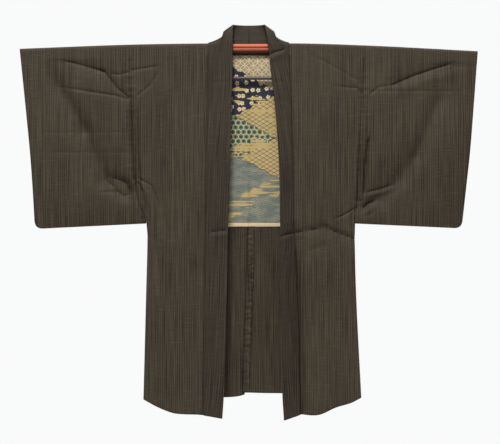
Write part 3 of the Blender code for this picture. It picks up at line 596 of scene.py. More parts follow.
def line_place(points, out, height):
    """Distance from a place to a line through points, and the share of the way along the line."""
    nearest = 1e9
    nearest_share = 0.0
    for index, ((out_a, height_a), (out_b, height_b)) in enumerate(zip(points, points[1:])):
        line_out = out_b - out_a
        line_height = height_b - height_a
        share = ((out - out_a) * line_out + (height - height_a) * line_height)
        share = min(max(share / (line_out ** 2 + line_height ** 2), 0.0), 1.0)
        away = math.hypot(out - out_a - share * line_out, height - height_a - share * line_height)
        if away < nearest:
            nearest = away
            nearest_share = (index + share) / (len(points) - 1)
    return nearest, nearest_share


def creases_of(side, face):
    """Each crease of a face with the box that it reaches, and the depth share at its first point."""
    found = []
    for faint_start, table in ((1.0, FOLDS), (FAINT_START, CREASES)):
        for crease in table.get((side, face), []):
            reach = crease.half_width * CREASE_REACH
            outs = [point[0] for point in crease.points]
            heights = [point[1] for point in crease.points]
            box = (min(outs) - reach, max(outs) + reach, min(heights) - reach, max(heights) + reach)
            found.append((crease, box, faint_start))
    return found


CREASES_OF = {(side, face): creases_of(side, face) for side in SIGN for face in ("front", "back", "band")}


def crease_sum(side, face, out, height):
    """Depth of a face's creases at a place."""
    total = 0.0
    for crease, (out_low, out_high, low, high), faint_start in CREASES_OF[side, face]:
        if out_low < out < out_high and low < height < high:
            away, share = line_place(crease.points, out, height)
            depth = mix(faint_start, 1.0, ease(share / FAINT_LENGTH))
            total += crease.lift * depth * math.exp(-(away / crease.half_width) ** crease.softness)
    return total


def pucker(along, away):
    """Small gathers where a seam is drawn up."""
    across = away * PUCKERS_A_METRE * PUCKER_STRETCH
    wave = noise.noise(Vector((along * PUCKERS_A_METRE, across, PUCKER_LAYER)))
    return PUCKER_LIFT * wave * math.exp(-(away / PUCKER_WIDTH) ** 2)


def crease_lift(side, face, out, height):
    """How far the cloth stands out of its plain hanging form."""
    below = ridge_height(side, out) - height
    shown = ease((below - BAR_CLEAR_BELOW_RIDGE) / (FOLD_FULL_BELOW_RIDGE - BAR_CLEAR_BELOW_RIDGE))
    if shown == 0.0:
        return 0.0
    total = crease_sum(side, face, out, height)
    x = SIGN[side] * out
    layer = FRONT_LAYER if face == "front" else BACK_LAYER
    total += RUMPLE_LIFT * noise.noise(Vector((x * RUMPLE_ACROSS, height * RUMPLE_DOWN, layer)))
    layer += RIPPLE_LAYER
    total += RIPPLE_LIFT * noise.noise(Vector((x * RIPPLE_ACROSS, height * RIPPLE_DOWN, layer)))
    return total * shown


def seam_dip(away):
    """The cloth turns in at a seam."""
    return -SEAM_DIP * math.exp(-(away / SEAM_DIP_WIDTH) ** 2)


def gathered_seam(along, away):
    """A seam's dip with the gathers beside it."""
    return seam_dip(away) + pucker(along, away)


def seam_shown(side, out, height):
    """Share of a seam's dip that the cloth takes: hardly any where it lies over the bar."""
    below = ridge_height(side, out) - height
    return mix(SEAM_SHOWN_OVER_BAR, 1.0, ease((below - BAR_CLEAR_BELOW_RIDGE) / SEAM_SHOWN_LENGTH))


def hem_dip(away):
    """The cloth rolls in a little at its turned-up hem."""
    return -HEM_ROLL * math.exp(-away / HEM_ROLL_HEIGHT)


def hanging_depth(below, half_depth):
    """Half depth of the cloth at a distance below the ridge: round over the bar, then opening."""
    if below < RIDGE_RADIUS:
        return math.sqrt(max(RIDGE_RADIUS ** 2 - (RIDGE_RADIUS - below) ** 2, 0.0))
    grown = 1.0 - math.exp(-(below - RIDGE_RADIUS) / DEPTH_GROWTH_LENGTH)
    return mix(RIDGE_RADIUS, half_depth, grown)


def body_half_depth(side, out, height):
    edge = read_curve(SIDE_EDGE[side], height)
    share = ease((out - FLAT_OUT) / (edge - FLAT_OUT))
    return mix(BODY_HALF_DEPTH, read_curve(EDGE_DEPTH, height), share)


def run_from_height(side, out, height):
    """Distance along the cloth from the ridge, for a height below the round of the bar."""
    return ridge_height(side, out) - RIDGE_RADIUS - height + QUARTER_TURN


def body_point(side, out, run):
    """Middle of the body's wall at a place on the cloth."""
    ridge = ridge_height(side, out)
    along = abs(run)
    facing = 1.0 if run > 0.0 else -1.0
    if along < QUARTER_TURN:
        turn = along / RIDGE_RADIUS
        depth = RIDGE_RADIUS * math.sin(turn)
        height = ridge - RIDGE_RADIUS + RIDGE_RADIUS * math.cos(turn)
    else:
        height = ridge - RIDGE_RADIUS - (along - QUARTER_TURN)
        depth = hanging_depth(ridge - height, body_half_depth(side, out, height))
        depth += crease_lift(side, "back" if run > 0.0 else "front", out, height)
    return Vector((SIGN[side] * out, facing * depth, height))


def body_normal(side, out, run):
    """Outward direction of the body's wall."""
    step = 0.0015
    along_run = body_point(side, out, run + step) - body_point(side, out, run - step)
    along_out = body_point(side, out + step, run) - body_point(side, out - step, run)
    return (along_run.cross(along_out) * -SIGN[side]).normalized()


def on_body(side, out, run, lift):
    return body_point(side, out, run) + body_normal(side, out, run) * lift


def make_sheet(columns, rows, place, keep=None, joined=False):
    """A grid whose points are put at place(column, row), which gives a point and its place on the
    flat cloth. joined closes it into a tube."""
    bm = bmesh.new()
    bmesh.ops.create_grid(bm, x_segments=columns, y_segments=rows, size=0.5)
    flat = bm.loops.layers.uv.new("Cloth")
    corners = {}
    for vert in bm.verts:
        column = round((vert.co.x + 0.5) * columns)
        row = round((vert.co.y + 0.5) * rows)
        corners[vert] = (column, row)
    if keep:
        spare = []
        for face in bm.faces:
            column = min(corners[vert][0] for vert in face.verts)
            row = min(corners[vert][1] for vert in face.verts)
            if not keep(column, row):
                spare.append(face)
        bmesh.ops.delete(bm, geom=spare, context="FACES")
    for vert in bm.verts:
        point, on_flat = place(*corners[vert])
        vert.co = point
        for loop in vert.link_loops:
            loop[flat].uv = on_flat
    if joined:
        bmesh.ops.remove_doubles(bm, verts=bm.verts, dist=1e-6)
    return bm


def add_object(name, bm, material):
    """An object at the origin with the form of a bmesh."""
    mesh = bpy.data.meshes.new(name)
    bm.to_mesh(mesh)
    bm.free()
    mesh.shade_smooth()
    mesh.materials.append(material)
    made = bpy.data.objects.new(name, mesh)
    bpy.context.scene.collection.objects.link(made)
    return made


def add_piece(name, bm, material, nodes):
    """A new piece that stands for CAD nodes."""
    piece = add_object(name, bm, material)
    piece.data.set_sharp_from_angle(angle=SHARP_EDGE)
    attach(piece, "root")
    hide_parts(*nodes)
    return piece


def add_wall(piece, thickness):
    """Gives a sheet its wall, half of it to each side."""
    wall = piece.modifiers.new("Wall", "SOLIDIFY")
    wall.thickness = thickness
    wall.offset = 0.0
    wall.use_even_offset = True
    wall.use_rim = True


# Rows of the body's cloth. A stretch runs between two levels, and share is the way up it.
Row = namedtuple("Row", "face stretch share")


def face_rows(face):
    """Rows of one face of the body, from its hem up to where the cloth meets the bar."""
    rows = []
    for stretch, count in FACE_ROWS[face].items():
        rows += [Row(face, stretch, index / count) for index in range(count)]
    return rows + [Row(face, "bar", 1.0)]


def body_rows():
    """All rows of a body panel, from the front hem over the shoulder to the back hem."""
    over = [Row("ridge", "over", 2.0 * index / RIDGE_ROWS - 1.0) for index in range(1, RIDGE_ROWS)]
    return face_rows("front") + over + face_rows("back")[::-1]


BODY_ROWS = body_rows()
FACE_ROW_COUNT = len(face_rows("front"))
NECK_ROW = FACE_ROW_COUNT - 1 + NECK_ROWS_OVER_RIDGE


def row_height(side, row, out):
    """Height of a row of the front or back at a distance out from the centre."""
    ridge = ridge_height(side, out)
    hem = FRONT_HEM[side] if row.face == "front" else BACK_HEM[side]
    levels = {
        "skirt": (read_curve(hem, out), LINING_FOOT),
        "waist": (LINING_FOOT, ARMHOLE_FOOT),
        "chest": (ARMHOLE_FOOT, ridge - BAR_CLEAR_BELOW_RIDGE),
        "bar": (ridge - BAR_CLEAR_BELOW_RIDGE, ridge - RIDGE_RADIUS),
    }
    low, high = levels[row.stretch]
    return mix(low, high, row.share)


def band_edge_out(side, height):
    return read_curve(BAND[side], min(height, BAND[side][-1].height), 3)


def seam_out(side, height):
    """Where the front's inner edge is sewn to the band, under the band's free edge."""
    straight_from = BAND[side][-1].height
    neck_from = ridge_height(side, NECK_OUT) - BAR_CLEAR_BELOW_RIDGE
    hidden_edge = band_edge_out(side, height) - BAND_OVERLAP
    risen = height - straight_from + SEAM_CURVES_BELOW
    whole = neck_from - straight_from + SEAM_CURVES_BELOW
    return mix(hidden_edge, NECK_OUT, ease(risen / whole))


def edge_spacing(share):
    """Columns a little closer together at both edges of a sheet."""
    return mix(share, 0.5 - 0.5 * math.cos(share * math.pi), EDGE_CROWDING)


def back_seam_x(height):
    return read_curve(BACK_SEAM, height)


def body_place(side, column, row_index):
    """Place (out, run) of a point of the body's grid; column 0 is the inner edge of the front."""
    row = BODY_ROWS[row_index]
    if row.face == "ridge":
        height = ridge_height(side, NECK_OUT)
    else:
        height = row_height(side, row, NECK_OUT)
    inner = seam_out(side, height) if row.face == "front" else NECK_OUT
    inner += SEAM_GAP / 2
    if column < 0:
        centre = SIGN[side] * back_seam_x(height) if row.face == "back" else 0.0
        out = mix(inner, centre + CLOTH_MEETING, -column / BACK_NECK_COLUMNS)
    else:
        share = edge_spacing(column / BODY_COLUMNS)
        if row.face != "ridge":
            height = row_height(side, row, mix(NECK_OUT, read_curve(SIDE_EDGE[side], height), share))
        outer = read_curve(SIDE_EDGE[side], height) - CLOTH_MEETING
        out = mix(inner, outer, share)
    if row.face == "ridge":
        return out, row.share * QUARTER_TURN
    run = run_from_height(side, out, row_height(side, row, out))
    return out, -run if row.face == "front" else run


def make_body(side, material):
    """One length of cloth from the front hem over the shoulder to the back hem."""

    def place(column, row):
        out, run = body_place(side, column - BACK_NECK_COLUMNS, row)
        point = body_point(side, out, run)
        from_edge = read_curve(SIDE_EDGE[side], point.z) - out
        from_hem = point.z - row_height(side, BODY_ROWS[0 if run < 0.0 else -1], out)
        shown = seam_shown(side, out, point.z)
        dip = seam_dip(from_edge) * shown + hem_dip(from_hem)
        dip += pucker(point.z, from_edge) * shown if abs(run) > QUARTER_TURN else 0.0
        if run < -QUARTER_TURN:
            from_band = out - band_edge_out(side, point.z) - BAND_GROOVE_FROM_EDGE
            dip -= BAND_GROOVE * shown * math.exp(-(from_band / BAND_GROOVE_WIDTH) ** 2)
        if row >= NECK_ROW:
            from_centre = abs(point.x - back_seam_x(point.z))
            dip += gathered_seam(point.z, from_centre) * shown
        if abs(run) < QUARTER_TURN:
            point += body_normal(side, out, run) * dip
        else:
            point.y += dip if run > 0.0 else -dip
        return point, (SIGN[side] * out, run)

    def keep(column, row):
        return column >= BACK_NECK_COLUMNS or row >= NECK_ROW

    bm = make_sheet(BODY_COLUMNS + BACK_NECK_COLUMNS, len(BODY_ROWS) - 1, place, keep)
    node = "body_" + side
    piece = add_piece("panel_" + side, bm, material, [node])
    add_wall(piece, CLOTH)


def sleeve_low(side, share):
    """Lowest point (out, height) of a ring of a sleeve."""
    shape = SLEEVE[side]
    foot = Vector((read_curve(SIDE_EDGE[side], ARMHOLE_FOOT), SLEEVE_FOOT))
    corner = Vector((shape.corner_out, shape.corner))
    cuff_low = Vector((shape.cuff_low_out, shape.cuff_low))
    to_foot = (foot - corner).normalized()
    to_cuff = (cuff_low - corner).normalized()
    tangent = SLEEVE_CORNER_RADIUS / math.tan(to_foot.angle(to_cuff) / 2)
    start = corner + to_foot * tangent
    end = corner + to_cuff * tangent
    if share < SLEEVE_CORNER_FROM:
        return foot.lerp(start, share / SLEEVE_CORNER_FROM)
    if share < SLEEVE_CORNER_TO:
        along = (share - SLEEVE_CORNER_FROM) / (SLEEVE_CORNER_TO - SLEEVE_CORNER_FROM)
        return start.lerp(corner, along).lerp(corner.lerp(end, along), along)
    return end.lerp(cuff_low, (share - SLEEVE_CORNER_TO) / (1.0 - SLEEVE_CORNER_TO))


def make_sleeve(side, material):
    """One length folded over the bar, closed at its foot and below the cuff."""
    shape = SLEEVE[side]
    other_steps = SLEEVE_RIDGE_ROWS + 1 + SLEEVE_EDGE_ROWS
    front_steps = other_steps + SLEEVE_FRONT_ROWS
    around = front_steps + other_steps + SLEEVE_BACK_ROWS

    def distance_below(step, face_rows, length, edge_radius):
        """Distance below the ridge of a step down one face of a ring."""
        if step <= SLEEVE_RIDGE_ROWS:
            return RIDGE_RADIUS * (1.0 - math.cos(step / SLEEVE_RIDGE_ROWS * math.pi / 2))
        step -= SLEEVE_RIDGE_ROWS + 1
        if step <= face_rows:
            start = mix(RIDGE_RADIUS, BAR_CLEAR_BELOW_RIDGE, SLEEVE_FIRST_ROW_SHARE)
            return mix(start, length - edge_radius, step / face_rows)
        turn = (step - face_rows) / SLEEVE_EDGE_ROWS * math.pi / 2
        return length - edge_radius + edge_radius * math.sin(turn)

    def closing_depth(above, edge_radius, half_depth):
        """Half depth of the cloth at a distance above the sleeve's closed edge."""
        if above < edge_radius:
            return math.sqrt(max(edge_radius ** 2 - (edge_radius - above) ** 2, 0.0))
        grown = 1.0 - math.exp(-(above - edge_radius) / SLEEVE_EDGE_LENGTH)
        return mix(edge_radius, half_depth, grown)

    def place(column, row):
        share = edge_spacing(row / SLEEVE_RINGS)
        low = sleeve_low(side, share)
        half_depth = read_curve(SLEEVE_DEPTH, share)
        edge_radius = mix(half_depth, SLEEVE_EDGE_RADIUS, ease(share / SLEEVE_CLOSES_BY))
        on_front = column <= front_steps
        step = column if on_front else around - column
        face_rows = SLEEVE_FRONT_ROWS if on_front else SLEEVE_BACK_ROWS
        facing = -1.0 if on_front else 1.0
        top_out = mix(read_curve(SIDE_EDGE[side], 0.0), shape.cuff_top_out, share)
        top = Vector((top_out, ridge_height(side, top_out)))
        length = (top - low).length
        below = distance_below(step, face_rows, length, edge_radius)
        spot = top.lerp(low, below / length)
        curve = read_curve(SIDE_EDGE[side], max(spot.y, ARMHOLE_FOOT)) + CLOTH_MEETING
        straight_foot = low.x if row == 0 else sleeve_low(side, 0.0).x
        straight = mix(read_curve(SIDE_EDGE[side], 0.0), straight_foot, min(below / length, 1.0))
        spot.x += (curve - straight) * (1.0 - ease(share / SLEEVE_SEAM_CURVES_BY))
        above = max(length - below, 0.0)
        depth = hanging_depth(below, half_depth)
        depth *= closing_depth(above, edge_radius, half_depth) / half_depth
        face = "front" if facing < 0.0 else "back"
        by_foot = ease(above / FOLD_FULL_BELOW_RIDGE)
        shown = mix(1.0, by_foot, ease(share / SLEEVE_FOOT_FADE_BY))
        if above > edge_radius:
            depth += crease_lift(side, face, spot.x, spot.y) * shown
            if below > RIDGE_RADIUS:
                depth += gathered_seam(spot.y, spot.x - curve) * seam_shown(side, spot.x, spot.y)
        return Vector((SIGN[side] * spot.x, facing * depth, spot.y)), (SIGN[side] * spot.x, facing * below)

    bm = make_sheet(around, SLEEVE_RINGS, place, joined=True)
    piece = add_piece("sleeve_cloth_" + side, bm, material, ["sleeve_" + side])
    add_wall(piece, CLOTH)


BandRing = namedtuple("BandRing", "seam edge fold wall_normal sag")


def front_band_ring(side, share):
    """Ring of the band beside the front, share of the way from the hem to the shoulder."""
    table = BAND[side]
    top = ridge_height(side, NECK_OUT) - BAR_CLEAR_BELOW_RIDGE
    seam_foot = read_curve(FRONT_HEM[side], table[0].edge_out)
    fold_foot = read_curve(FRONT_HEM[side], table[0].fold_out)
    height = mix(seam_foot, top, share)
    fold_height = mix(fold_foot, top, share)
    out = seam_out(side, height)
    run = -run_from_height(side, out, height)
    edge_out = band_edge_out(side, height)
    edge_run = -run_from_height(side, edge_out, height)
    edge = on_body(side, edge_out, edge_run, 2 * BAND_FOLD_RADIUS)
    fold_out = read_curve(table, fold_height, 1)
    fold = Vector((SIGN[side] * fold_out, -read_curve(table, fold_height, 2), fold_height))
    return BandRing(body_point(side, out, run), edge, fold, body_normal(side, out, run), 0.0)


def neck_band_ring(side, at):
    """Ring of the band round the neck, at a place counted in rows of the neck's table."""
    table = NECK_RINGS[side]

    def read(name):
        return read_curve(table, at, NeckRing._fields.index(name))

    run = RIDGE_RADIUS * math.radians(read("seam_turn"))
    seam = body_point(side, read("seam_out"), run)
    edge = on_body(side, read("edge_out"), read("edge_run"), 2 * BAND_FOLD_RADIUS)
    fold = Vector((SIGN[side] * read("fold_out"), read("fold_depth"), read("fold_height")))
    return BandRing(seam, edge, fold, body_normal(side, read("seam_out"), run), read("sag"))


def band_rings(side):
    rings = [front_band_ring(side, index / BAND_RINGS) for index in range(BAND_RINGS + 1)]
    first_neck = neck_band_ring(side, 0.0)
    last_front = rings[-1]
    for index in range(1, NECK_RING_STEPS):
        share = index / NECK_RING_STEPS
        rings.append(BandRing(*[mix(a, b, share) for a, b in zip(last_front, first_neck)]))
    count = (len(NECK_RINGS[side]) - 1) * NECK_RING_STEPS
    rings += [neck_band_ring(side, index / NECK_RING_STEPS) for index in range(count + 1)]
    return rings


def neck_sag(share):
    """Shape of the band's sag across it: none by its fold, a sharp step inwards, then out to its edge."""
    if share < SAG_DEEPEST:
        return SAG_STEP * ease((share - SAG_FROM) / (SAG_DEEPEST - SAG_FROM))
    return SAG_STEP * (1.0 - ((share - SAG_DEEPEST) / (1.0 - SAG_DEEPEST)) ** 2)


def make_band(side, material):
    """Collar band, folded outwards along its length, from the front hem to the centre back."""
    rings = band_rings(side)
    steps = BAND_INNER_STEPS + BAND_FOLD_STEPS + BAND_OUTER_STEPS
    last = len(rings) - 1
    lift = 2 * BAND_FOLD_RADIUS
    lengths = [0.0]
    for low, high in zip(rings, rings[1:]):
        lengths.append(lengths[-1] + ((high.fold + high.seam) - (low.fold + low.seam)).length / 2)

    def directions(row):
        """Directions across the band and out of its face at a ring."""
        ahead = rings[min(row + RINGS_EACH_WAY, last)]
        behind = rings[max(row - RINGS_EACH_WAY, 0)]
        travel = (ahead.seam + ahead.fold) - (behind.seam + behind.fold)
        across = (rings[row].fold - rings[row].seam).normalized()
        outward = (across.cross(travel) * -SIGN[side]).normalized()
        return across, outward

    def place(column, row):
        ring = rings[row]
        across, outward = directions(row)
        slant = abs(across.dot(ring.wall_normal))
        along_wall = max(1.0 - slant ** 2, BAND_LEAST_ALONG_WALL)
        set_back = SEAM_GAP / 2 + CLOTH / 2 * slant / math.sqrt(along_wall)
        set_back += SEAM_GAP * slant
        centre = ring.fold - across * (BAND_FOLD_RADIUS + CLOTH / 2) + outward * BAND_FOLD_RADIUS
        width = (ring.fold - ring.seam).length
        if column <= BAND_INNER_STEPS:
            share = column / BAND_INNER_STEPS
            inner_end = centre - outward * BAND_FOLD_RADIUS
            point = (ring.seam + across * set_back).lerp(inner_end, share)
            point -= outward * ring.sag * neck_sag(1.0 - share)
            on_flat = width * share
        elif column <= BAND_INNER_STEPS + BAND_FOLD_STEPS:
            turn = (column - BAND_INNER_STEPS) / BAND_FOLD_STEPS * math.pi
            point = centre - outward * BAND_FOLD_RADIUS * math.cos(turn)
            point += across * BAND_FOLD_RADIUS * math.sin(turn)
            on_flat = width + BAND_FOLD_RADIUS * turn
        else:
            share = (column - BAND_INNER_STEPS - BAND_FOLD_STEPS) / BAND_OUTER_STEPS
            point = (centre + outward * BAND_FOLD_RADIUS).lerp(ring.edge, share)
            point += outward * (lift * slant * 4.0 * share * (1.0 - share) - ring.sag * neck_sag(share))
            on_flat = width + BAND_FOLD_RADIUS * math.pi + width * share
        crease = crease_sum(side, "band", abs(point.x), point.z) if point.y < 0.0 else 0.0
        from_seam = min(on_flat, 2.0 * width - on_flat) if column != steps else 0.0
        point += outward * crease * ease(from_seam / BAND_CREASE_FROM_SEAM)
        if row == last:
            point.x = SIGN[side] * CLOTH_MEETING
        return point, (on_flat, lengths[row])

    bm = make_sheet(steps, last, place)
    piece = add_piece("band_" + side, bm, material, ["collar_" + side])
    add_wall(piece, CLOTH)


def make_gusset(side, material):
    """Narrow side piece between front and back, folded inwards, from the sleeve to the hem."""
    inset = 1.25 * CLOTH + SEAM_GAP
    top = SLEEVE_FOOT - GUSSET_BELOW_SLEEVE
    edge_at_hem = read_curve(SIDE_EDGE[side], HEM_CORNER)
    foot = read_curve(BACK_HEM[side], edge_at_hem)

    def place(column, row):
        height = mix(foot, top, row / GUSSET_ROWS)
        out = read_curve(SIDE_EDGE[side], height) - SEAM_GAP / 2 - CLOTH / 2
        run = run_from_height(side, out, height)
        front = body_point(side, out, -run).y + inset
        back = body_point(side, out, run).y - inset
        half_span = (back - front) / 2
        half_width = mix(GUSSET_HALF_WIDTH_AT_HEM, GUSSET_HALF_WIDTH_AT_TOP, row / GUSSET_ROWS)
        half_width = max(half_width, half_span * GUSSET_LEAST_SLACK)
        tuck = math.sqrt(half_width ** 2 - half_span ** 2)
        share = column / GUSSET_COLUMNS
        inward = tuck * math.sin(share * math.pi)
        point = Vector((SIGN[side] * (out - inward), mix(front, back, share), height))
        return point, (2.0 * half_width * (share - 0.5), height)

    bm = make_sheet(GUSSET_COLUMNS, GUSSET_ROWS, place)
    piece = add_piece("gusset_cloth_" + side, bm, material, ["gusset_" + side])
    add_wall(piece, CLOTH)


def lining_ridge(x, height):
    """How far the lining's pressed ridges stand in from the back."""
    total = 0.0
    for start, end, half_width, lift in LINING_RIDGES:
        away, share = line_place((start, end), x, height)
        grown = ease(share / LINING_RIDGE_FAINT)
        total += lift * grown * math.exp(-(away / half_width) ** LINING_RIDGE_SOFTNESS)
    return total


def make_seam_cloth(material):
    """Turned-in cloth of the centre back seam, pressed to one side, on the inside below the lining."""
    top = LINING_FOOT - SEAM_CLOTH_BELOW_LINING
    foot = read_curve(BACK_HEM["left"], SEAM_CLOTH_HEM_OUT) + SEAM_CLOTH_ABOVE_HEM

    def place(column, row):
        share = column / SEAM_CLOTH_COLUMNS
        height = mix(foot, top, row / SEAM_CLOTH_ROWS)
        wave = noise.noise(Vector((0.0, height * SEAM_CLOTH_WAVES_A_METRE, SEAM_CLOTH_EDGE_LAYER)))
        width = SEAM_CLOTH_WIDTH * (1.0 + SEAM_CLOTH_EDGE_WAVE * wave)
        x = back_seam_x(height) - SEAM_CLOTH_PAST_SEAM + width * share
        side = "right" if x < 0.0 else "left"
        ripple = noise.noise(Vector((share, height * PUCKERS_A_METRE, SEAM_CLOTH_LAYER)))
        from_seam = abs(x - back_seam_x(height))
        clear = CLOTH / 2 + SEAM_GAP + SEAM_CLOTH_WALL / 2 - min(gathered_seam(height, from_seam), 0.0)
        stand = SEAM_CLOTH_STAND * mix(SEAM_CLOTH_ROOT_STAND, 1.0, share) * (1.0 + ripple)
        point = on_body(side, abs(x), run_from_height(side, abs(x), height), -clear - stand)
        return point, (x, height)

    bm = make_sheet(SEAM_CLOTH_COLUMNS, SEAM_CLOTH_ROWS, place)
    piece = add_object("back_seam_cloth", bm, material)
    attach(piece, "root")
    add_wall(piece, SEAM_CLOTH_WALL)
    return piece


def make_lining(material):
    """Printed lining of the back, from below the bar to its straight lower edge."""
    inset = CLOTH / 2 + SEAM_GAP + LINING_CLOTH / 2

    def place(column, row):
        across = 2.0 * column / LINING_COLUMNS - 1.0
        side = "right" if across < 0.0 else "left"
        height = mix(LINING_FOOT, ridge_height(side, NECK_OUT) - BAR_CLEAR_BELOW_RIDGE, row / LINING_ROWS)
        outer = read_curve(SIDE_EDGE[side], max(height, ARMHOLE_FOOT)) - LINING_EDGE_CLEAR
        out = abs(across) * outer
        top = ridge_height(side, out) - BAR_CLEAR_BELOW_RIDGE
        top -= LINING_GATHER * abs(math.sin(SIGN[side] * out * math.pi / LINING_GATHER_WIDTH))
        height = mix(LINING_FOOT, top, row / LINING_ROWS)
        lift = lining_ridge(SIGN[side] * out, height) - min(gathered_seam(height, out), 0.0)
        point = on_body(side, out, run_from_height(side, out, height), -inset - lift)
        return point, (SIGN[side] * out, height)

    bm = make_sheet(LINING_COLUMNS, LINING_ROWS, place)
    piece = add_piece("back_lining", bm, material, ["lining"])
    add_wall(piece, LINING_CLOTH)


def close_ends(bm):
    bmesh.ops.holes_fill(bm, edges=[edge for edge in bm.edges if edge.is_boundary], sides=0)
    bmesh.ops.recalc_face_normals(bm, faces=bm.faces)


def bar_profile():
    """Half outline of the two-ribbed bar, as (half depth, distance below its top) pairs."""
    radius = BAR_RIB_RADIUS
    low_centre = BAR_HEIGHT - radius
    meeting = math.acos(BAR_WEB_HALF_DEPTH / radius)
    pairs = []
    for index in range(BAR_RIB_STEPS + 1):
        turn = mix(math.pi / 2, -meeting, index / BAR_RIB_STEPS)
        pairs.append((radius * math.cos(turn), radius - radius * math.sin(turn)))
    for index in range(BAR_RIB_STEPS + 1):
        turn = mix(meeting, -math.pi / 2, index / BAR_RIB_STEPS)
        pairs.append((radius * math.cos(turn), low_centre - radius * math.sin(turn)))
    pairs[0] = (0.0, 0.0)
    pairs[-1] = (0.0, BAR_HEIGHT)
    return pairs


def make_bar(name, node, start, end, sections, material):
    """A length of the hanger bar, from one distance along it to another."""
    half = bar_profile()
    around = 2 * (len(half) - 1)

    def place(column, row):
        x = mix(start, end, row / sections)
        side = "right" if x < 0.0 else "left"
        top = ridge_height(side, abs(x)) - CLOTH / 2 - SEAM_GAP
        facing = -1.0 if column < len(half) else 1.0
        depth, below = half[column] if column < len(half) else half[around - column]
        return Vector((x, facing * depth, top - below)), (x, below)

    bm = make_sheet(around, sections, place, joined=True)
    close_ends(bm)
    add_piece(name, bm, material, [node])


def make_rail(material):
    """Slim lower rail, its two ends turned up to the underside of the bar."""
    bar_foot = ridge_height("right", 0.0) - CLOTH / 2 - SEAM_GAP - BAR_HEIGHT
    level = -RAIL_HEIGHT_BELOW_ORIGIN
    bend = RAIL_BEND_RADIUS
    path = [Vector((-RAIL_HALF_WIDTH, 0.0, bar_foot - SEAM_GAP))]
    for index in range(RAIL_BEND_STEPS + 1):
        turn = index / RAIL_BEND_STEPS * math.pi / 2
        path.append(Vector((
            -RAIL_HALF_WIDTH + bend - bend * math.cos(turn), 0.0, level + bend - bend * math.sin(turn),
        )))
    path += [Vector((-point.x, 0.0, point.z)) for point in reversed(path)]
    last = len(path) - 1

    def place(column, row):
        travel = (path[min(row + 1, last)] - path[max(row - 1, 0)]).normalized()
        if row in (0, last):
            travel = Vector((0.0, 0.0, -1.0 if row == 0 else 1.0))
        across = travel.cross(Vector((0.0, 1.0, 0.0)))
        turn = column / RAIL_SIDES * 2.0 * math.pi
        round_it = across * math.cos(turn) + Vector((0.0, math.sin(turn), 0.0))
        return path[row] + round_it * RAIL_RADIUS, (turn, row)

    bm = make_sheet(RAIL_SIDES, last, place, joined=True)
    close_ends(bm)
    add_piece("rail", bm, material, ["hanger_rail"])


def tone(red, green, blue):
    """Linear colour from the 0 to 255 values of a screen."""
    values = []
    for value in (red, green, blue):
        value /= 255.0
        values.append(value / 12.92 if value <= 0.04045 else ((value + 0.055) / 1.055) ** 2.4)
    return (*values, 1.0)


class Value:
    """A number that a material works out at each place, for use in ordinary sums."""

    def __init__(self, look, socket):
        self.look = look
        self.socket = socket

    def __add__(self, other):
        return self.look.sum("ADD", self, other)

    def __sub__(self, other):
        return self.look.sum("SUBTRACT", self, other)

    def __mul__(self, other):
        return self.look.sum("MULTIPLY", self, other)

    def __truediv__(self, other):
        return self.look.sum("DIVIDE", self, other)

    def fract(self):
        return self.look.sum("FRACT", self)

    def floor(self):
        return self.look.sum("FLOOR", self)

    def abs(self):
        return self.look.sum("ABSOLUTE", self)

    def sine(self):
        return self.look.sum("SINE", self)

    def least(self, other):
        return self.look.sum("MINIMUM", self, other)

    def most(self, other):
        return self.look.sum("MAXIMUM", self, other)

    def above(self, edge, soft):
        """0 well below an edge and 1 well above it."""
        made = self.look.node("ShaderNodeMapRange", {0: self - edge, 1: -soft, 2: soft, 3: 0.0, 4: 1.0})
        made.interpolation_type = "SMOOTHSTEP"
        return Value(self.look, made.outputs[0])

    def below(self, edge, soft):
        return self.look.sum("SUBTRACT", 1.0, self.above(edge, soft))


class Look:
    """A material, worked out from the place on the cloth or on the object."""

    def __init__(self, name, roughness):
        self.material = bpy.data.materials.new(name)
        self.material.use_nodes = True
        self.tree = self.material.node_tree
        self.shader = self.tree.nodes["Principled BSDF"]
        self.shader.inputs["Roughness"].default_value = roughness

    def node(self, kind, values=(), **settings):
        made = self.tree.nodes.new(kind)
        for name, value in settings.items():
            setattr(made, name, value)
        for key, value in dict(values).items():
            if isinstance(value, Value):
                value = value.socket
            if isinstance(value, bpy.types.NodeSocket):
                self.tree.links.new(value, made.inputs[key])
            else:
                made.inputs[key].default_value = value
        return made

    def sum(self, operation, a, b=0.0, c=0.0):
        made = self.node("ShaderNodeMath", {0: a, 1: b, 2: c}, operation=operation)
        return Value(self, made.outputs[0])

    def flat_place(self):
        """Distances across and along the flat cloth."""
        flat = self.node("ShaderNodeUVMap", uv_map="Cloth").outputs[0]
        parts = self.node("ShaderNodeSeparateXYZ", {0: flat})
        return Value(self, parts.outputs[0]), Value(self, parts.outputs[1])

    def vector(self, x, y, z=0.0):
        return self.node("ShaderNodeCombineXYZ", {0: x, 1: y, 2: z}).outputs[0]

    def noise(self, x, y, detail=2.0, seed=0.0):
        """Noise with one blot a unit."""
        settings = {"Vector": self.vector(x, y, seed), "Scale": 1.0, "Detail": detail}
        return Value(self, self.node("ShaderNodeTexNoise", settings).outputs["Fac"])

    def blend(self, share, a, b):
        made = self.node("ShaderNodeMix", {0: share, 6: a, 7: b}, data_type="RGBA")
        return made.outputs[2]

    def shade(self, color, factor):
        made = self.node("ShaderNodeVectorMath", {0: color, 3: factor}, operation="SCALE")
        return made.outputs[0]

    def bump(self, height, strength, distance):
        made = self.node("ShaderNodeBump", {"Height": height, "Strength": strength, "Distance": distance})
        self.tree.links.new(made.outputs[0], self.shader.inputs["Normal"])

    def color(self, socket):
        self.tree.links.new(socket, self.shader.inputs["Base Color"])


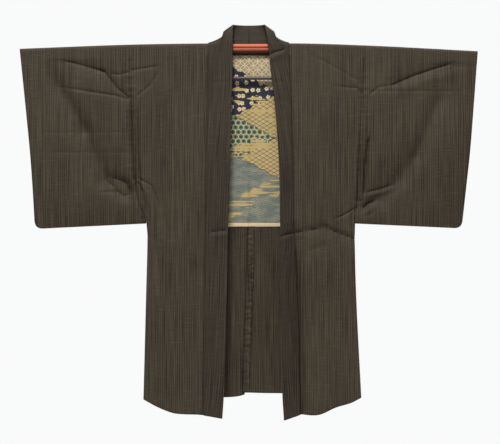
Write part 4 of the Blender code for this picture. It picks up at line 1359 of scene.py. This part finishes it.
def striped_silk(name, seed, dark, light):
    """Dark brown silk with fine uneven stripes along the cloth and faint slubs across it.

    The factors of each noise are its blots a metre, across and along the cloth.
    """
    look = Look(name, 0.70)
    look.shader.inputs["Sheen Weight"].default_value = 0.02
    look.shader.inputs["Sheen Roughness"].default_value = 0.40
    look.shader.inputs["Specular IOR Level"].default_value = 0.20
    across, along = look.flat_place()
    drift = look.noise(across * 60.0, along * 0.7, 1.0, seed)
    stripes = ((across / STRIPE_SPACING + drift * 1.1) * (2.0 * math.pi)).sine()
    strength = look.noise(across * 24.0, along * 1.4, 2.0, seed + 4.0)
    threads = look.noise(across * 620.0, along * 7.0, 2.0, seed + 7.0) - 0.5
    streaks = look.noise(across * 150.0, along * 1.1, 2.0, seed + 9.0) - 0.5
    wefts = look.noise(across * 26.0, along * 520.0, 2.0, seed + 13.0) - 0.5
    slubs = look.noise(across * 22.0, along * 210.0, 1.0, seed + 15.0).above(0.66, 0.05)
    clouds = look.noise(across * 10.0, along * 4.0, 3.0, seed + 17.0) - 0.5
    weave = stripes * strength * 0.34 + threads * 2.2 + streaks * 0.50 + wefts * 0.60
    share = weave + slubs * 0.16 + clouds * 0.45 + 0.5
    hue = look.noise(across * 75.0, along * 1.5, 1.0, seed + 21.0).above(0.52, 0.14)
    light_thread = look.blend(hue * 0.35, tone(*light), tone(76, 66, 55))
    look.color(look.blend(share, tone(*dark), light_thread))
    look.bump(threads + wefts + slubs * 0.5, 0.45, 0.0005)
    return look.material


def ring_lines(look, x, y, radius):
    """Distance from lines of rings that overlap their neighbours by a half, the linked rings pattern."""

    def grid(shift):
        dx = ((x / (2.0 * radius) + shift).fract() - 0.5) * (2.0 * radius)
        dy = ((y / (2.0 * radius) + shift).fract() - 0.5) * (2.0 * radius)
        return (look.sum("SQRT", dx * dx + dy * dy) - radius).abs()

    return grid(0.0).least(grid(0.5))


def scale_lines(look, x, y, radius):
    """Place from 0 to 1 in the arcs of overlapping fans, the blue sea waves pattern."""
    row = (y / (radius / 2.0)).floor()

    def fan(index):
        shift = (index * 0.5).fract()
        dx = ((x / (2.0 * radius) + shift).fract() - 0.5) * (2.0 * radius)
        dy = y - index * (radius / 2.0)
        return look.sum("SQRT", dx * dx + dy * dy)

    near = fan(row - 1.0)
    far = fan(row)
    in_near = near.below(radius, radius * 0.01)
    return (near * in_near + far * (look.sum("SUBTRACT", 1.0, in_near))) / radius


def lozenge_lines(x, y, width):
    """Distance from the lines of a lattice of lozenges, and from its middles, in shares of a cell."""
    height = width * LOZENGE_SHAPE
    rising = ((x / width + y / height).fract() - 0.5).abs()
    falling = ((x / width - y / height).fract() - 0.5).abs()
    return rising.least(falling), rising.most(falling)


def hexagon_lines(look, x, y, size):
    """Distance from the lines of a tortoiseshell pattern, in shares of a cell."""
    tall = math.sqrt(3.0)
    u = x / size
    v = y / size

    def cell(shift):
        gx = ((u + shift).fract() - 0.5).abs()
        gy = ((v / tall + shift).fract() - 0.5).abs() * tall
        return gx.most(gx * 0.5 + gy * (tall / 2.0))

    return look.sum("SUBTRACT", 0.5, cell(0.0).least(cell(0.5))).abs()


def blossoms(look, x, y, spacing):
    """Share of scattered five-petalled blossoms, and of their hearts."""
    place = look.vector(x / spacing, y / spacing)
    cells = look.node("ShaderNodeTexVoronoi", {"Vector": place, "Scale": 1.0, "Randomness": 0.75},
                      voronoi_dimensions="2D")
    away = look.node("ShaderNodeVectorMath", {0: place, 1: cells.outputs["Position"]}, operation="SUBTRACT")
    parts = look.node("ShaderNodeSeparateXYZ", {0: away.outputs[0]})
    angle = look.sum("ARCTAN2", Value(look, parts.outputs[1]), Value(look, parts.outputs[0]))
    distance = Value(look, cells.outputs["Distance"])
    edge = ((angle * (PETALS / 2)).sine().abs() * 0.13) + 0.19
    return distance.below(edge, 0.02), distance.below(0.075, 0.02)


def mist_bars(look, x, y, height):
    """Share of long mist bars with round ends."""
    row = (y / height).floor()
    within = ((y / height).fract() - 0.5) * 2.0
    length = look.noise(x * 13.0 + row * 3.71, row * 1.93, 0.0, 2.0)
    return (length - within * within * 0.13).above(0.50, 0.006)


def printed_lining():
    """Silk printed with slanting panels, each with a traditional repeat, edged with mist bars."""
    look = Look("printed_silk", 0.44)
    look.shader.inputs["Sheen Weight"].default_value = 0.08
    raw_x, raw_y = look.flat_place()

    def waver(seed):
        """Small unevenness of the printed lines."""
        wave = look.noise(raw_x * PRINT_WAVERS_A_METRE, raw_y * PRINT_WAVERS_A_METRE, 1.0, seed)
        return (wave - 0.5) * PRINT_WAVER

    x = raw_x + waver(1.0)
    y = raw_y + waver(6.0)
    beige, cream, gold = tone(158, 142, 114), tone(222, 200, 158), tone(190, 166, 108)
    navy, green, dark_green = tone(34, 40, 56), tone(92, 114, 90), tone(44, 58, 46)
    ink = tone(30, 32, 36)

    def slant(angle, period, depth):
        """Height of a place above a slanting line with a scalloped edge."""
        scallops = (x * (math.pi / period)).sine().abs()
        return y - x * angle - scallops * depth

    rings = ring_lines(look, x, y, RING_RADIUS)
    color = look.blend(rings.below(0.0008, 0.0003), beige, cream)
    falling = slant(-0.55, 0.031, 0.0065)
    rising = slant(0.50, 0.026, 0.0060)
    petals, hearts = blossoms(look, x, y, BLOSSOM_SPACING)
    night = look.blend(petals, navy, cream)
    night = look.blend(hearts, night, tone(176, 92, 62))
    shell = hexagon_lines(look, x, y, HEXAGON_SIZE)
    grove = look.blend(shell.below(0.055, 0.02), green, cream)
    grove = look.blend(shell.above(0.30, 0.02), grove, dark_green)
    fans = scale_lines(look, x, y, FAN_RADIUS)
    arcs = ((fans * 3.0).fract() - 0.5).abs()
    shallows = look.noise(x * 26.0, y * 60.0, 2.0, 3.0).above(0.50, 0.10)
    sea = look.blend(shallows, tone(120, 126, 114), tone(148, 146, 126))
    sea = look.blend(arcs.above(0.36, 0.04) * 0.8, sea, tone(52, 66, 78))
    lines, middles = lozenge_lines(x, y, LOZENGE_WIDTH)
    sand = look.blend(look.noise(x * 40.0, y * 60.0, 3.0, 8.0), tone(206, 184, 130), tone(172, 154, 106))
    sand = look.blend(lines.below(0.075, 0.02), sand, tone(112, 94, 60))
    sand = look.blend(middles.below(0.14, 0.03), sand, tone(146, 84, 58))

    # Each panel covers what lies under it, below a scalloped edge with a line along it
    panels = (
        (night, falling, 0.083),
        (sand, rising, 0.172),
        (grove, falling, 0.214),
        (sand, rising, 0.292),
        (sea, falling, 0.322),
    )
    for panel, edge, below_top in panels:
        level = edge + below_top
        line = level.abs().below(PANEL_LINE, 0.0003)
        color = look.blend(line, look.blend(level.below(0.0, 0.0004), color, panel), ink)
    near_edge = (falling + 0.150).abs().least((rising + 0.285).abs()).least((rising + 0.430).abs())
    bars = mist_bars(look, x, y, MIST_BAR_HEIGHT) * near_edge.below(0.026, 0.004)
    color = look.blend(bars, color, gold)
    border_top = LINING_FOOT + FOOT_BORDER
    color = look.blend(y.below(border_top, 0.0004), color, cream)
    foot_line = (y - border_top).abs().below(0.0006, 0.0003)
    color = look.blend(foot_line, color, ink)
    threads = look.noise(raw_x * 900.0, raw_y * 60.0, 1.0, 4.0) - 0.5
    wefts = look.noise(raw_x * 60.0, raw_y * 900.0, 1.0, 5.0) - 0.5
    aged = look.noise(raw_x * 12.0, raw_y * 8.0, 3.0, 9.0) - 0.5
    look.color(look.shade(color, threads * 0.12 + wefts * 0.12 + aged * 0.25 + 0.98))
    look.bump(threads + wefts, 0.25, 0.0003)
    return look.material


def orange_lacquer():
    look = Look("orange_lacquer_bar", 0.42)
    place = look.node("ShaderNodeTexCoord").outputs["Object"]
    cloud = look.node("ShaderNodeTexNoise", {"Vector": place, "Scale": 40.0, "Detail": 3.0})
    below = look.flat_place()[1]
    # Upper rib's top: a random mottle, painted lighter than the rest of the bar as a painted highlight
    worn_and_painted_highlight = look.blend(cloud.outputs["Fac"], tone(186, 98, 70), tone(200, 110, 80))
    # Painted shade over the upper rib's lower half and the groove, from UPPER_RIB_IN_SHADE down
    upper = look.blend(below.above(UPPER_RIB_IN_SHADE, 0.0012), worn_and_painted_highlight, tone(166, 66, 34))
    # Lower rib: a thin painted highlight along its top, then painted shade over the rest of it, from
    # LOWER_RIB_IN_SHADE down
    lower = look.blend(below.above(LOWER_RIB_IN_SHADE, 0.0008), tone(196, 112, 84), tone(88, 36, 22))
    look.color(look.blend(below.above(LOWER_RIB_FROM, 0.0004), upper, lower))
    look.shader.inputs["Specular IOR Level"].default_value = 0.14
    look.shader.inputs["Coat Weight"].default_value = 0.05
    look.shader.inputs["Coat Roughness"].default_value = 0.20
    return look.material


def dark_metal():
    look = Look("dark_metal_rail", 0.55)
    look.shader.inputs["Metallic"].default_value = 0.15
    place = look.node("ShaderNodeTexCoord").outputs["Object"]
    cloud = look.node("ShaderNodeTexNoise", {"Vector": place, "Scale": 60.0, "Detail": 3.0})
    look.color(look.blend(cloud.outputs["Fac"], tone(58, 54, 52), tone(78, 74, 71)))
    return look.material


def make_stage():
    """Plain pale floor below the hem."""
    bm = bmesh.new()
    bmesh.ops.create_circle(bm, cap_ends=True, segments=FLOOR_SIDES, radius=FLOOR_RADIUS)
    bmesh.ops.translate(bm, verts=bm.verts, vec=(0.0, 0.0, FLOOR_HEIGHT))
    look = Look("floor_paint", 0.9)
    look.shader.inputs["Base Color"].default_value = FLOOR_COLOR
    floor = add_object("floor", bm, look.material)


def make_camera():
    camera = bpy.data.cameras.new("camera")
    camera.sensor_width = SENSOR * 1000.0
    camera.lens = SENSOR * 1000.0 * CAMERA_DISTANCE / (PHOTO_WIDTH * METRES_A_PIXEL)
    holder = bpy.data.objects.new("camera", camera)
    x = (PHOTO_WIDTH / 2 - ORIGIN_PIXEL_X) * METRES_A_PIXEL
    z = (ORIGIN_PIXEL_Y - PHOTO_HEIGHT / 2) * METRES_A_PIXEL
    holder.location = (x, -CAMERA_DISTANCE, z)
    holder.rotation_euler = (math.pi / 2, 0.0, 0.0)
    bpy.context.scene.collection.objects.link(holder)
    bpy.context.scene.camera = holder


def make_light(name, place, size, power):
    light = bpy.data.lights.new(name, "AREA")
    light.shape = "DISK"
    light.size = size
    light.energy = power
    holder = bpy.data.objects.new(name, light)
    holder.location = place
    holder.rotation_euler = (Vector(LIGHT_TARGET) - Vector(place)).to_track_quat("-Z", "Y").to_euler()
    bpy.context.scene.collection.objects.link(holder)


def make_lights():
    make_light("key", place=(-0.40, -2.60, 3.70), size=0.9, power=280.0)
    make_light("back_key", place=(1.0, 2.2, 2.2), size=1.0, power=90.0)
    world = bpy.data.worlds.new("studio")
    world.use_nodes = True
    tree = world.node_tree
    background = tree.nodes["Background"]
    background.inputs["Color"].default_value = STUDIO_COLOR
    seen = tree.nodes.new("ShaderNodeLightPath").outputs["Is Camera Ray"]
    strength = tree.nodes.new("ShaderNodeMix")
    strength.inputs[2].default_value = STUDIO_LIGHT
    strength.inputs[3].default_value = STUDIO_SEEN
    tree.links.new(seen, strength.inputs[0])
    tree.links.new(strength.outputs[0], background.inputs["Strength"])
    bpy.context.scene.world = world
    bpy.context.scene.view_settings.view_transform = "Standard"


def main():
    make_camera()
    make_lights()
    make_stage()
    cloth = striped_silk("striped_silk", 0.0, CLOTH_DARK, CLOTH_LIGHT)
    band_cloth = striped_silk("striped_silk_band", 31.0, BAND_DARK, BAND_LIGHT)
    lacquer = orange_lacquer()
    seam_cloth = make_seam_cloth(cloth)
    for side in SIGN:
        make_body(side, cloth)
        make_sleeve(side, cloth)
        make_band(side, band_cloth)
        make_gusset(side, cloth)
    make_lining(printed_lining())
    arm_start = BAR_MIDDLE_REACH + SEAM_GAP
    make_bar("bar_middle", "hanger_bar", -BAR_MIDDLE_REACH, BAR_MIDDLE_REACH, BAR_MIDDLE_SECTIONS, lacquer)
    make_bar("bar_arm_right", "hanger_arm_right", -BAR_REACH, -arm_start, BAR_ARM_SECTIONS, lacquer)
    make_bar("bar_arm_left", "hanger_arm_left", arm_start, BAR_REACH, BAR_ARM_SECTIONS, lacquer)
    make_rail(dark_metal())


main()
